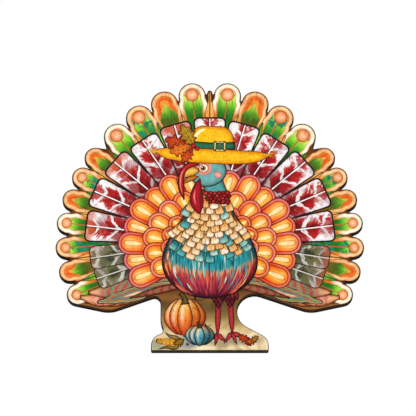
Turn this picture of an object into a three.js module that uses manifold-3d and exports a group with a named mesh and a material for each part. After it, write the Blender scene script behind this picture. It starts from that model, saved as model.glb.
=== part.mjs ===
// A turkey door hanger: a flat cut-out board with a printed front, hung by two D-rings at the back.
// Millimetres, +Z up, front toward -Y. The origin lies on the board's back face, on its centre line,
// at the height of the two ring hinges.

import * as THREE from 'three';
import { mergeVertices } from 'three/addons/utils/BufferGeometryUtils.js';
import Module from 'manifold-3d';

const wasm = await Module();
wasm.setup();

// Overall outline
const FAN_WIDTH = 610;
const OVERALL_HEIGHT = 550;
const CROWN_SHARE = 0.59;
const FAN_DRAW_IN_SHARE = 0.03;
const TIP_FULLNESS_SHARE = 0.95;
const NOTCH_RADIUS = 1.5;

// The feather tips of one side, as turns from straight up
const TOP_FEATHERS = { count: 4, firstDegrees: 7.3, lastDegrees: 43 };
const SIDE_FEATHERS = { count: 7, firstDegrees: 55.5, lastDegrees: 111.5 };

// The small crest in the gap between the two top feathers
const CREST = { drop: 15, radius: 5 };

// The plinth, with a straight foot and round shoulders
const PLINTH_WIDTH = 231;
const PLINTH_HEIGHT = 36;
const PLINTH_FOOT_RADIUS = 3;
const PLINTH_SHOULDER_RADIUS = 24;

// The waist: a nook and a rounded swell to the left of the legs, a deep hollow to the right of them
const LEFT_NOOK = { reach: 109, radius: 12 };
const LEFT_NOOK_DROP_SHARE = 0.57;
const LEFT_SWELL = { reach: 49, rise: 29, radius: 48 };
const SWELL_NOOK_RADIUS = 7;
const RIGHT_HOLLOW = { reach: 88, radius: 34 };
const RIGHT_HOLLOW_DROP_SHARE = 0.645;

// The full round of the tail's underside, a little lower than the lowest feather tip
const UNDERSIDE = { reach: 200, drop: 12, radius: 60 };

// Heights above and below the fan's centre
const fanCrown = CROWN_SHARE * OVERALL_HEIGHT;
const standDrop = OVERALL_HEIGHT - fanCrown;
const plinthTop = PLINTH_HEIGHT - standDrop;

// Board and printed sheet
const BOARD_THICKNESS = 15;
const EDGE_EASE = 0.8;
const SHEET_THICKNESS = 0.8;
const SHEET_MARGIN = 0.6;

// D-ring hangers
const HANGER_HEIGHT = 150;
const HANGER_SPREAD = 95;
const WIRE_RADIUS = 1.5;
const RING_WIDTH = 24;
const RING_HEIGHT = 22;
const RING_CORNER_RADIUS = 4;
const RING_BUTT_GAP = 0.4;
const RUN_CLEARANCE = 0.3;
const STRAP_WIDTH = 13;
const STRAP_THICKNESS = 1.2;
const STRAP_MOUTH_GAP = 0.5;

// Pan-head screws
const SHANK_RADIUS = 1.75;
const HOLE_CLEARANCE = 0.45;
const PILOT_CLEARANCE = 0.3;
const PILOT_FLOOR = 2.4;
const HEAD_RADIUS = 3.6;
const HEAD_HEIGHT = 2.4;
const HEAD_SPACING = 3;
const TIP_LENGTH = 3;
const RECESS_LENGTH = 4.2;
const RECESS_WIDTH = 1;
const RECESS_DEPTH = 1.4;

// Rubber bumpers
const BUMPER_RADIUS = 9;
const BUMPER_HEIGHT = 8;
const BUMPER_TAPER = 1.4;
const BUMPER_ROUNDING = 1.2;
const BUMPER_MARGIN = 6;
const UPPER_BUMPER_SHARES = { reach: 0.6, rise: 0.45 };

const CUT_OVERRUN = 1;
const TIP_ARC_STEPS = 14;
const NOOK_ARC_STEPS = 4;
const TURN_STEPS = 24;

const boardPaint = new THREE.MeshStandardMaterial({ color: 0x1b1917, roughness: 0.7, metalness: 0 });
const printedSheet = new THREE.MeshStandardMaterial({ color: 0xd98a4f, roughness: 0.45, metalness: 0 });
const zincPlate = new THREE.MeshStandardMaterial({ color: 0xb9bcbd, roughness: 0.35, metalness: 1 });
const zincScrew = new THREE.MeshStandardMaterial({ color: 0xc9c5b6, roughness: 0.3, metalness: 1 });
const blackRubber = new THREE.MeshStandardMaterial({ color: 0x22211f, roughness: 0.85, metalness: 0 });

// Turns a closed geometry into a solid for joining and cutting.
function solidOf(geometry) {
  const bare = geometry.index ? geometry.toNonIndexed() : geometry.clone();
  bare.deleteAttribute('normal');
  bare.deleteAttribute('uv');
  const merged = mergeVertices(bare, WIRE_RADIUS * 1e-5);
  const mesh = new wasm.Mesh({
    numProp: 3,
    vertProperties: new Float32Array(merged.attributes.position.array),
    triVerts: new Uint32Array(merged.index.array),
  });
  return new wasm.Manifold(mesh);
}

// Turns a solid back into a geometry.
function geometryOf(solid) {
  const mesh = solid.getMesh();
  const geometry = new THREE.BufferGeometry();
  geometry.setAttribute('position', new THREE.BufferAttribute(mesh.vertProperties, 3));
  geometry.setIndex(new THREE.BufferAttribute(mesh.triVerts, 1));
  const faceted = geometry.toNonIndexed();
  faceted.computeVertexNormals();
  return faceted;
}

// A convex turn of the outline (material inside the circle) or a nook (material outside it).
function bulge(x, y, radius, steps) {
  return { x, y, radius, side: 1, steps };
}

function nook(x, y, radius) {
  return { x, y, radius, side: -1, steps: NOOK_ARC_STEPS };
}

// The nook that touches two bulges on the outer side of the line from a to b. Where they lie too far
// apart for it to touch both, it sits on that line.
function nookBetween(a, b, radius) {
  const gap = Math.hypot(b.x - a.x, b.y - a.y);
  const toNookA = a.radius + radius;
  const toNookB = b.radius + radius;
  const along = (gap * gap + toNookA * toNookA - toNookB * toNookB) / (2 * gap);
  const out = Math.sqrt(Math.max(0, toNookA * toNookA - along * along));
  const ux = (b.x - a.x) / gap;
  const uy = (b.y - a.y) / gap;
  return nook(a.x + ux * along + uy * out, a.y + uy * along - ux * out, radius);
}

// The tips of one group of feathers on the right side, from the top down. Their centres lie on an
// ellipse that is drawn in a little between its axes, and their radius follows from their pitch.
function featherTips(group) {
  const first = THREE.MathUtils.degToRad(group.firstDegrees);
  const pitch = (THREE.MathUtils.degToRad(group.lastDegrees) - first) / (group.count - 1);
  const halfPitch = TIP_FULLNESS_SHARE * Math.sin(pitch / 2);
  const radius = (halfPitch * FAN_WIDTH) / 2 / (1 + halfPitch);
  return Array.from({ length: group.count }, (_, rank) => {
    const angle = first + rank * pitch;
    const draw = 1 - FAN_DRAW_IN_SHARE * Math.sin(2 * angle) ** 2;
    const x = (FAN_WIDTH / 2 - radius) * draw * Math.sin(angle);
    const y = (fanCrown - radius) * draw * Math.cos(angle);
    return bulge(x, y, radius, TIP_ARC_STEPS);
  });
}

// The bulges of the fan, from the lowest right tip over the crest to the lowest left one. The tips'
// places are stretched a little, so that the widest and the highest tip reach the overall sizes.
function fanTurns() {
  const right = [...featherTips(TOP_FEATHERS), ...featherTips(SIDE_FEATHERS)];
  const widest = right.reduce((best, tip) => (tip.x + tip.radius > best.x + best.radius ? tip : best));
  const highest = right[0];
  const stretchX = (FAN_WIDTH / 2 - widest.radius) / widest.x;
  const stretchY = (fanCrown - highest.radius) / highest.y;
  for (const tip of right) {
    tip.x *= stretchX;
    tip.y *= stretchY;
  }
  const left = right.map((tip) => bulge(-tip.x, tip.y, tip.radius, tip.steps));
  const crest = bulge(0, fanCrown - CREST.drop - CREST.radius, CREST.radius, 2 * NOOK_ARC_STEPS);
  return [...right.reverse(), crest, ...left];
}

// The round shoulder of the plinth on one side.
function shoulderTurn(side) {
  const x = PLINTH_WIDTH / 2 - PLINTH_SHOULDER_RADIUS;
  return bulge(side * x, plinthTop - PLINTH_SHOULDER_RADIUS, PLINTH_SHOULDER_RADIUS, 2 * NOOK_ARC_STEPS);
}

// The round under the tail, beside the lowest feather tip.
function undersideTurn(lowestTip, side) {
  const y = lowestTip.y - lowestTip.radius - UNDERSIDE.drop + UNDERSIDE.radius;
  return bulge(side * UNDERSIDE.reach, y, UNDERSIDE.radius, 2 * NOOK_ARC_STEPS);
}

// Every circle that the outline turns round, counter-clockwise seen from the front,
// with the fan's centre at nought.
function outlineTurns() {
  const foot = PLINTH_FOOT_RADIUS;
  const footX = PLINTH_WIDTH / 2 - foot;
  const footY = foot - standDrop;
  const hollow = nook(RIGHT_HOLLOW.reach, -RIGHT_HOLLOW_DROP_SHARE * standDrop, RIGHT_HOLLOW.radius);
  hollow.steps = TIP_ARC_STEPS;
  const fan = fanTurns();
  const turns = [
    bulge(-footX, footY, foot, NOOK_ARC_STEPS),
    bulge(footX, footY, foot, NOOK_ARC_STEPS),
    shoulderTurn(1),
    hollow,
    undersideTurn(fan[0], 1),
  ];
  fan.forEach((tip, index) => {
    if (index > 0) {
      turns.push(nookBetween(fan[index - 1], tip, NOTCH_RADIUS));
    }
    turns.push(tip);
  });
  const swell = bulge(-LEFT_SWELL.reach, plinthTop + LEFT_SWELL.rise, LEFT_SWELL.radius, TIP_ARC_STEPS);
  const shoulder = shoulderTurn(-1);
  turns.push(undersideTurn(fan[fan.length - 1], -1));
  turns.push(nook(-LEFT_NOOK.reach, -LEFT_NOOK_DROP_SHARE * standDrop, LEFT_NOOK.radius));
  turns.push(swell);
  turns.push(nookBetween(swell, shoulder, SWELL_NOOK_RADIUS));
  turns.push(shoulder);
  return turns;
}

// The angle, seen from either centre, of the straight line that touches two turns in a row.
function touchAngle(from, to) {
  const gap = Math.hypot(to.x - from.x, to.y - from.y);
  const fall = (from.side * from.radius - to.side * to.radius) / gap;
  const turn = Math.acos(THREE.MathUtils.clamp(fall, -1, 1));
  return Math.atan2(to.y - from.y, to.x - from.x) - turn;
}

// The closed outline, drawn in by inset: arcs round the turns, joined by the lines that touch them.
function boardOutline(inset) {
  const turns = outlineTurns();
  for (const turn of turns) {
    turn.radius -= turn.side * inset;
  }
  const points = [];
  turns.forEach((turn, index) => {
    const before = turns[(index + turns.length - 1) % turns.length];
    const after = turns[(index + 1) % turns.length];
    const start = touchAngle(before, turn);
    let sweep = touchAngle(turn, after) - start;
    sweep -= 2 * Math.PI * Math.round((sweep - turn.side * Math.PI) / (2 * Math.PI));
    for (let step = 0; step <= turn.steps; step += 1) {
      const angle = start + (sweep * step) / turn.steps;
      const reach = turn.side * turn.radius;
      points.push(new THREE.Vector2(turn.x + reach * Math.cos(angle), turn.y + reach * Math.sin(angle)));
    }
  });
  return new THREE.Shape(points.filter((point, index) => {
    const next = points[(index + 1) % points.length];
    return point.distanceTo(next) > NOTCH_RADIUS * 1e-3;
  }));
}

// The two ring hinges and the two screws of each, as places on the back, from the origin.
const knuckleRadius = WIRE_RADIUS + RUN_CLEARANCE + STRAP_THICKNESS;
const nearScrewDrop = (knuckleRadius + RING_HEIGHT - WIRE_RADIUS) / 2;
const farScrewDrop = RING_HEIGHT + WIRE_RADIUS + HEAD_RADIUS + HEAD_SPACING;
const shankLength = STRAP_THICKNESS + BOARD_THICKNESS - PILOT_FLOOR;
const hangers = [
  { side: 'left', x: -HANGER_SPREAD },
  { side: 'right', x: HANGER_SPREAD },
];
const screwSeats = [
  { row: 'upper', drop: nearScrewDrop },
  { row: 'lower', drop: farScrewDrop },
];

// A round cutter along Y, from one depth to another.
function holeCutter(x, z, radius, fromY, toY) {
  const cutter = new THREE.CylinderGeometry(radius, radius, toY - fromY, TURN_STEPS);
  cutter.translate(x, (fromY + toY) / 2, z);
  return solidOf(cutter);
}

// The board: the outline in fibreboard with eased edges and four blind pilot holes.
function makeBoard() {
  const plate = new THREE.ExtrudeGeometry(boardOutline(0), {
    depth: BOARD_THICKNESS - 2 * EDGE_EASE,
    bevelEnabled: true,
    bevelThickness: EDGE_EASE,
    bevelSize: EDGE_EASE,
    bevelOffset: -EDGE_EASE,
    bevelSegments: 1,
  });
  plate.translate(0, -HANGER_HEIGHT, EDGE_EASE);
  plate.rotateX(Math.PI / 2);
  let board = solidOf(plate);
  const pilotRadius = SHANK_RADIUS + PILOT_CLEARANCE;
  const pilotEnd = PILOT_FLOOR - PILOT_CLEARANCE - BOARD_THICKNESS;
  for (const hanger of hangers) {
    for (const seat of screwSeats) {
      board = board.subtract(holeCutter(hanger.x, -seat.drop, pilotRadius, pilotEnd, CUT_OVERRUN));
    }
  }
  return geometryOf(board);
}

// The printed sheet on the front, a narrow margin inside the eased edge.
function makePrintedFace() {
  const sheet = new THREE.ExtrudeGeometry(boardOutline(EDGE_EASE + SHEET_MARGIN), {
    depth: SHEET_THICKNESS,
    bevelEnabled: false,
  });
  sheet.translate(0, -HANGER_HEIGHT, 0);
  return sheet;
}

// The hanger strap: a strip with a round end and two holes, rolled at the top round the ring's bar.
// Its side profile is drawn with x out of the wall and y up, from the hinge's centre.
function makeStrap() {
  const bore = WIRE_RADIUS + RUN_CLEARANCE;
  const end = -farScrewDrop - STRAP_WIDTH / 2;
  const mouth = Math.acos((bore - STRAP_MOUTH_GAP) / knuckleRadius) - Math.PI;
  const profile = new THREE.Shape();
  profile.moveTo(-knuckleRadius, end);
  profile.lineTo(STRAP_THICKNESS - knuckleRadius, end);
  profile.lineTo(STRAP_THICKNESS - knuckleRadius, 0);
  profile.absarc(0, 0, bore, Math.PI, mouth, true);
  profile.absarc(0, 0, knuckleRadius, mouth, Math.PI, false);
  profile.closePath();
  const strip = new THREE.ExtrudeGeometry(profile, {
    depth: STRAP_WIDTH,
    bevelEnabled: false,
    curveSegments: TURN_STEPS,
  });
  strip.translate(knuckleRadius, 0, -STRAP_WIDTH / 2);
  strip.applyQuaternion(new THREE.Quaternion(0.5, 0.5, 0.5, 0.5));
  const tab = new THREE.Shape();
  tab.moveTo(-STRAP_WIDTH / 2, knuckleRadius + CUT_OVERRUN);
  tab.lineTo(-STRAP_WIDTH / 2, -farScrewDrop);
  tab.absarc(0, -farScrewDrop, STRAP_WIDTH / 2, Math.PI, 2 * Math.PI, false);
  tab.lineTo(STRAP_WIDTH / 2, knuckleRadius + CUT_OVERRUN);
  const outline = new THREE.ExtrudeGeometry(tab, {
    depth: 2 * (knuckleRadius + CUT_OVERRUN),
    bevelEnabled: false,
    curveSegments: TURN_STEPS,
  });
  outline.rotateX(Math.PI / 2);
  outline.translate(0, 2 * knuckleRadius + CUT_OVERRUN, 0);
  let strap = solidOf(strip).intersect(solidOf(outline));
  const holeRadius = SHANK_RADIUS + HOLE_CLEARANCE;
  for (const seat of screwSeats) {
    const overrun = STRAP_THICKNESS + CUT_OVERRUN;
    strap = strap.subtract(holeCutter(0, -seat.drop, holeRadius, -CUT_OVERRUN, overrun));
  }
  return geometryOf(strap);
}

// The D-ring's centre line: a straight bar with a butt joint in its middle, two corners, two arms
// and a round top, in the plane of the ring with the bar on the x axis.
class RingLine extends THREE.Curve {
  constructor() {
    super();
    const half = RING_WIDTH / 2;
    const corner = RING_CORNER_RADIUS;
    this.line = new THREE.Path();
    this.line.moveTo(RING_BUTT_GAP / 2, 0);
    this.line.lineTo(half - corner, 0);
    this.line.absarc(half - corner, corner, corner, -Math.PI / 2, 0, false);
    this.line.lineTo(half, RING_HEIGHT - half);
    this.line.absarc(0, RING_HEIGHT - half, half, 0, Math.PI, false);
    this.line.lineTo(-half, corner);
    this.line.absarc(corner - half, corner, corner, Math.PI, 1.5 * Math.PI, false);
    this.line.lineTo(-RING_BUTT_GAP / 2, 0);
  }

  getPoint(share) {
    const point = this.line.getPointAt(share);
    return new THREE.Vector3(point.x, 0, point.y);
  }
}

// The D-ring: one round wire bent along that line.
function makeRing() {
  const section = new THREE.Shape();
  section.absarc(0, 0, WIRE_RADIUS, 0, 2 * Math.PI, false);
  return new THREE.ExtrudeGeometry(section, {
    steps: 3 * TURN_STEPS,
    curveSegments: TURN_STEPS / 4,
    extrudePath: new RingLine(),
  });
}

// The screw: pan head on the strap, straight shank and drill tip, with a cross recess.
function makeScrew() {
  const rim = HEAD_HEIGHT / 2.5;
  const profile = [
    new THREE.Vector2(0, -shankLength),
    new THREE.Vector2(SHANK_RADIUS, TIP_LENGTH - shankLength),
    new THREE.Vector2(SHANK_RADIUS, 0),
    new THREE.Vector2(HEAD_RADIUS, 0),
  ];
  const domeSteps = TURN_STEPS / 4;
  for (let step = 0; step <= domeSteps; step += 1) {
    const angle = (step / domeSteps) * (Math.PI / 2);
    const y = rim + (HEAD_HEIGHT - rim) * Math.sin(angle);
    profile.push(new THREE.Vector2(step === domeSteps ? 0 : HEAD_RADIUS * Math.cos(angle), y));
  }
  let screw = solidOf(new THREE.LatheGeometry(profile, TURN_STEPS));
  const height = RECESS_DEPTH + CUT_OVERRUN;
  for (const quarter of [0, 1]) {
    const wing = new THREE.BoxGeometry(RECESS_LENGTH, height, RECESS_WIDTH);
    wing.rotateY((quarter * Math.PI) / 2);
    wing.translate(0, HEAD_HEIGHT - RECESS_DEPTH + height / 2, 0);
    screw = screw.subtract(solidOf(wing));
  }
  return geometryOf(screw);
}

// The bumper: a tapered rubber stud with a rounded rim and a flat end.
function makeBumper() {
  const endRadius = BUMPER_RADIUS - BUMPER_TAPER;
  const profile = [new THREE.Vector2(0, 0), new THREE.Vector2(BUMPER_RADIUS, 0)];
  const rimSteps = TURN_STEPS / 6;
  for (let step = 0; step <= rimSteps; step += 1) {
    const angle = (step / rimSteps) * (Math.PI / 2);
    const x = endRadius - BUMPER_ROUNDING * (1 - Math.cos(angle));
    const y = BUMPER_HEIGHT - BUMPER_ROUNDING * (1 - Math.sin(angle));
    profile.push(new THREE.Vector2(x, y));
  }
  profile.push(new THREE.Vector2(0, BUMPER_HEIGHT));
  return new THREE.LatheGeometry(profile, TURN_STEPS);
}

function named(name, geometry, material) {
  const mesh = new THREE.Mesh(geometry, material);
  mesh.name = name;
  return mesh;
}

// Places of the four bumpers: two behind the fan, two behind the plinth's ends.
function bumperPlaces() {
  const upperX = (UPPER_BUMPER_SHARES.reach * FAN_WIDTH) / 2;
  const upperZ = UPPER_BUMPER_SHARES.rise * fanCrown - HANGER_HEIGHT;
  const lowerX = PLINTH_WIDTH / 2 - BUMPER_RADIUS - BUMPER_MARGIN;
  const lowerZ = PLINTH_HEIGHT / 2 - standDrop - HANGER_HEIGHT;
  return [
    { name: 'bumper_upper_left', x: -upperX, z: upperZ },
    { name: 'bumper_upper_right', x: upperX, z: upperZ },
    { name: 'bumper_lower_left', x: -lowerX, z: lowerZ },
    { name: 'bumper_lower_right', x: lowerX, z: lowerZ },
  ];
}

const hanging = new THREE.Group();
hanging.name = 'turkey_door_hanger';

hanging.add(named('board', makeBoard(), boardPaint));

const printedFace = named('printed_face', makePrintedFace(), printedSheet);
printedFace.position.y = -BOARD_THICKNESS;
printedFace.rotation.x = Math.PI / 2;
hanging.add(printedFace);

const ringLean = Math.asin((knuckleRadius - WIRE_RADIUS - RUN_CLEARANCE) / RING_HEIGHT);
for (const hanger of hangers) {
  const fitting = new THREE.Group();
  fitting.position.x = hanger.x;
  fitting.add(named(`strap_${hanger.side}`, makeStrap(), zincPlate));
  const ring = named(`d_ring_${hanger.side}`, makeRing(), zincPlate);
  ring.position.y = knuckleRadius;
  ring.rotation.x = ringLean;
  fitting.add(ring);
  for (const seat of screwSeats) {
    const screw = named(`screw_${hanger.side}_${seat.row}`, makeScrew(), zincScrew);
    screw.position.set(0, STRAP_THICKNESS, -seat.drop);
    fitting.add(screw);
  }
  hanging.add(fitting);
}

for (const place of bumperPlaces()) {
  const bumper = named(place.name, makeBumper(), blackRubber);
  bumper.position.set(place.x, 0, place.z);
  hanging.add(bumper);
}

export default hanging;
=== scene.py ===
"""A turkey door hanger: a flat printed cut-out of fibreboard that hangs by two D-rings.

The picture on its front is built up of thin layers of ink. Places in the picture are in
millimetres, x to the right and h up, counted from the middle of the fan.
"""
import math
from functools import partial

import bpy
import numpy as np
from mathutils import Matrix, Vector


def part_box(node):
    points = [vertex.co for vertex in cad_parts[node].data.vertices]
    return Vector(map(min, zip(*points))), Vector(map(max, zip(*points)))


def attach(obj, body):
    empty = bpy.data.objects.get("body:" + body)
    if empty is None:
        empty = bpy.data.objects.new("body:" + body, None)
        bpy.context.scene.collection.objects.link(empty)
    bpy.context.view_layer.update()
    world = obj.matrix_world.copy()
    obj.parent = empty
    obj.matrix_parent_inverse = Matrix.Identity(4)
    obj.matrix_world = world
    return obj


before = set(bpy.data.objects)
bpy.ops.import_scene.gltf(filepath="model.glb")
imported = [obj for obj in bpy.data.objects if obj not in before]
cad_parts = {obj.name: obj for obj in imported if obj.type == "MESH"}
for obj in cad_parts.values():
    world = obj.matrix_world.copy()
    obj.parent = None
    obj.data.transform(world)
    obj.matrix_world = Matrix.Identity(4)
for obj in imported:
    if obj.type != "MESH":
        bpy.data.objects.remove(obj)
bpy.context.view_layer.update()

MM = 0.001
BODY = "hanging"
random = np.random.default_rng(24)

# The board as the frame gives it; its height and the crest's height over the fan's middle are in mm
board_low, board_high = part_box("board")
SHEET_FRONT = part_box("printed_face")[0].y
HEIGHT = (board_high.z - board_low.z) / MM
CROWN = 0.59 * HEIGHT
FAN_MIDDLE = board_high.z - CROWN * MM
FAN_HALF = 305.0

# The tips of one side in groups, each with its count, its first turn and its last one; the share by which
# the fan draws in between its top and sides; the share of the pitch that a tip fills; a margin in mm
TIP_GROUPS = ((4, 7.3, 43.0), (7, 55.5, 111.5))
DRAW_IN = 0.03
TIP_FULLNESS = 0.95
PRINT_MARGIN = 1.8

# In mm: the step from one ink layer to the next, how thick each is, and how far in from its outline the
# colours of an edge reach
LAYER = 0.02
INK_BODY = 0.018
EDGE_REACH = 40.0

# Inputs of a mix of two colours: the share of the upper one, the lower one and the upper one
SHARE, UNDER, OVER = 0, 6, 7

# Settings of nodes that come often: a colour laid over another, a glaze that darkens it, and a soft step
TINT = {"data_type": "RGBA"}
GLAZE = {"data_type": "RGBA", "blend_type": "MULTIPLY"}
SMOOTH = {"interpolation_type": "SMOOTHSTEP"}


def linear(code, alpha=1.0):
    """An sRGB hex code as a linear colour."""
    parts = [int(code[i:i + 2], 16) / 255 for i in (1, 3, 5)]
    return [p / 12.92 if p <= 0.04045 else ((p + 0.055) / 1.055) ** 2.4 for p in parts] + [alpha]


def add_node(tree, kind, inputs=(), stops=(), span=1.0, **settings):
    """Adds a node, sets it up, fills or links its inputs by place or name, and gives its first output.
    The kind of a sum names its operation too. The stops of a colour ramp are measured in spans."""
    kind, _, operation = kind.partition(" ")
    node = tree.nodes.new("ShaderNode" + kind)
    if operation:
        node.operation = operation
    for name, value in settings.items():
        setattr(node, name, value)
    for key, value in inputs.items() if isinstance(inputs, dict) else enumerate(inputs):
        if isinstance(value, bpy.types.NodeSocket):
            tree.links.new(value, node.inputs[key])
        elif isinstance(value, str):
            node.inputs[key].default_value = linear(value)
        else:
            node.inputs[key].default_value = value
    ramp = getattr(node, "color_ramp", None)
    for index, (place, code) in enumerate(stops):
        stop = ramp.elements[index] if index < 2 else ramp.elements.new(place / span)
        stop.position = place / span
        stop.color = linear(code)
    return next((socket for socket in node.outputs if socket.enabled), node)


def new_material(name):
    """An empty material of that name, and the function that adds a node to it."""
    material = bpy.data.materials.new(name)
    material.use_nodes = True
    material.node_tree.nodes.clear()
    return material, partial(add_node, material.node_tree)


def coated(add, colour, *coats):
    """Lays coats over a colour in turn. Each is the share of it that shows and its colour, and GLAZE
    for one that darkens what lies under it."""
    for share, over, *glaze in coats:
        colour = add("Mix", {SHARE: share, UNDER: colour, OVER: over}, **(glaze[0] if glaze else TINT))
    return colour


# Shapes of ink

def border_distance(points, outline):
    """Distance from each point to the nearest straight piece of a closed outline."""
    start = outline[None]
    step = np.roll(outline, -1, axis=0)[None] - start
    gap = points[:, None] - start
    length = (step ** 2).sum(-1) + 1e-12
    share = np.clip((gap * step).sum(-1) / length, 0, 1)
    return np.sqrt(((gap - share[..., None] * step) ** 2).sum(-1)).min(1)


def lattice(left, right, columns=11):
    """Rows of points between two edge lines, closer together near the edges: row i runs straight
    from left[i] to right[i]. Each point keeps its own place and its distance from the outline."""
    share = 0.5 - 0.5 * np.cos(np.linspace(0, np.pi, columns))
    grid = left[:, None] * (1 - share)[None, :, None] + right[:, None] * share[None, :, None]
    points = grid.reshape(-1, 2)
    outline = np.concatenate([left, right[::-1]])
    rows = len(left)
    up = np.repeat(np.linspace(0, 1, rows), columns)
    side = np.tile(2 * share - 1, rows)
    return {"rows": rows, "columns": columns, "points": points, "up": up, "side": side,
            "edge": border_distance(points, outline)}


def upright(half_width, bottom, top, rows=28, columns=11, lean=None):
    """A lattice symmetric about the h axis: half_width(t) at share t of the way from bottom to top,
    with rows closer together at both ends. lean(t) moves a row sideways."""
    t = 0.5 - 0.5 * np.cos(np.linspace(0.02, np.pi - 0.02, rows))
    h = bottom + (top - bottom) * t
    width = half_width(t)
    middle = lean(t) if lean else 0 * t
    left = np.stack([middle - width, h], 1)
    right = np.stack([middle + width, h], 1)
    return lattice(left, right, columns)


def strip(path, widths, rows=24, columns=7):
    """A lattice along a smooth path through a few points: at each row half a width to either side,
    square to the path."""
    path = np.array(path, float)
    knots = np.linspace(0, 1, len(path))
    t = np.linspace(0, 1, rows)
    middle = np.stack([smooth_through(t, knots, path[:, k]) for k in (0, 1)], 1)
    slope = np.gradient(middle, axis=0)
    slope /= np.linalg.norm(slope, axis=1)[:, None] + 1e-9
    out = np.stack([-slope[:, 1], slope[:, 0]], 1)
    width = smooth_through(t, np.linspace(0, 1, len(widths)), np.array(widths, float))[:, None] / 2
    return lattice(middle + out * width, middle - out * width, columns)


def smooth_through(t, knots, values):
    """A smooth line through a few values, by cubics with the slopes of a Catmull-Rom curve."""
    slopes = np.gradient(values, knots)
    index = np.clip(np.searchsorted(knots, t, side="right") - 1, 0, len(knots) - 2)
    span = knots[index + 1] - knots[index]
    s = (t - knots[index]) / span
    a, b = values[index], values[index + 1]
    p, q = slopes[index] * span, slopes[index + 1] * span
    return a + s * p + s ** 2 * (3 * (b - a) - 2 * p - q) + s ** 3 * (2 * (a - b) + p + q)


def stamp(patch, x=0.0, h=0.0, turn=0.0, size=1.0, lift=0.0, lean=0.0, roll=0.0, tone=None):
    """One copy of a patch: sized, turned clockwise by turn degrees, and moved to (x, h). Its ink lies
    lift layers up, lean more layers at its far end and roll more at its right side."""
    angle = math.radians(turn)
    local = patch["points"] * size
    px = x + local[:, 0] * math.cos(angle) + local[:, 1] * math.sin(angle)
    ph = h - local[:, 0] * math.sin(angle) + local[:, 1] * math.cos(angle)
    layers = lift + lean * patch["up"] + roll * patch["side"]
    tone = random.random() if tone is None else tone
    return {"patch": patch, "x": px, "h": ph, "layers": layers, "tone": tone, "size": size}


def grid_faces(rows, columns):
    """Faces of a closed thin layer: a front of quads, the same quads behind turned round, and a
    wall round the border. The back's points follow the front's."""
    count = rows * columns
    i, j = np.meshgrid(np.arange(rows - 1), np.arange(columns - 1), indexing="ij")
    a = (i * columns + j).ravel()
    front = np.stack([a, a + 1, a + columns + 1, a + columns], 1)
    back = front[:, ::-1] + count
    index = np.arange(count).reshape(rows, columns)
    loop = np.concatenate([index[0, :-1], index[:-1, -1], index[-1, :0:-1], index[:0:-1, 0]])
    ahead = np.roll(loop, -1)
    wall = np.stack([loop, loop + count, ahead + count, ahead], 1)
    return np.concatenate([front, back, wall])


def ink(name, stamps, material):
    """One piece of ink from all the copies given, as closed thin layers on the sheet's front."""
    places, edges, own, sides, tones, faces = [], [], [], [], [], []
    total = 0
    for s in stamps:
        patch = s["patch"]
        places.append(both_sides(s["x"], s["h"], s["layers"]))
        local = np.stack([patch["points"][:, 0], patch["points"][:, 1],
                          np.full(len(s["x"]), 100 * s["tone"])], 1)
        own += [local, local]
        edges += [patch["edge"] * s["size"]] * 2
        sides += [patch["side"]] * 2
        tones += [np.full(2 * len(local), s["tone"])]
        faces.append(grid_faces(patch["rows"], patch["columns"]) + total)
        total += 2 * len(local)
    fields = {"place": ("FLOAT_VECTOR", "vector", np.concatenate(own)),
              "edge": ("FLOAT", "value", np.concatenate(edges)),
              "side": ("FLOAT", "value", np.concatenate(sides)),
              "tone": ("FLOAT", "value", np.concatenate(tones))}
    return ink_piece(name, np.concatenate(places), np.concatenate(faces), fields, material)


def both_sides(x, h, layers):
    """Points of a layer's front at (x, h) mm that many layers up, and then those of its back."""
    depth = SHEET_FRONT - (layers * LAYER + INK_BODY) * MM
    front = np.stack([x * MM, depth + 0 * x, h * MM + FAN_MIDDLE], 1)
    return np.concatenate([front, front + [0, INK_BODY * MM, 0]])


def ink_piece(name, places, faces, fields, material):
    """A piece from its points, its faces and the fields that its material reads."""
    mesh = bpy.data.meshes.new(name)
    mesh.from_pydata(places.tolist(), [], faces.tolist())
    for field, (kind, slot, values) in fields.items():
        attribute = mesh.attributes.new(field, kind, "POINT")
        attribute.data.foreach_set(slot, values.astype(np.float32).ravel())
    mesh.materials.append(material)
    piece = bpy.data.objects.new(name, mesh)
    bpy.context.scene.collection.objects.link(piece)
    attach(piece, BODY)
    return piece


def sheet_outline():
    """Corners of the sheet's front in mm, each side of its outline as a pair of them, and the outward
    direction at each corner. A side of a front triangle is on the outline if no other one has it."""
    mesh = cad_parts["printed_face"].data
    points = np.empty(3 * len(mesh.vertices))
    mesh.vertices.foreach_get("co", points)
    points = points.reshape(-1, 3)
    corners = np.empty(3 * len(mesh.polygons), int)
    mesh.polygons.foreach_get("vertices", corners)
    triangles = corners.reshape(-1, 3)
    triangles = triangles[(np.abs(points[triangles, 1] - SHEET_FRONT) < 0.01 * MM).all(1)]
    flat = np.round((points[triangles][:, :, [0, 2]] - [0, FAN_MIDDLE]) / MM, 3).reshape(-1, 2)
    flat, index = np.unique(flat, axis=0, return_inverse=True)
    index = index.reshape(-1, 3)
    sides = np.concatenate([index, np.roll(index, -1, axis=1)], 0).reshape(2, -1).T
    code = sides[:, 0] * len(flat) + sides[:, 1]
    sides = sides[~np.isin(code, sides[:, 1] * len(flat) + sides[:, 0])]
    run = flat[sides[:, 1]] - flat[sides[:, 0]]
    away = np.stack([run[:, 1], -run[:, 0]], 1) / (np.linalg.norm(run, axis=1)[:, None] + 1e-9)
    outward = np.zeros_like(flat)
    for end in (0, 1):
        np.add.at(outward, sides[:, end], away)
    return flat, sides, outward / (np.linalg.norm(outward, axis=1)[:, None] + 1e-9)


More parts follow.
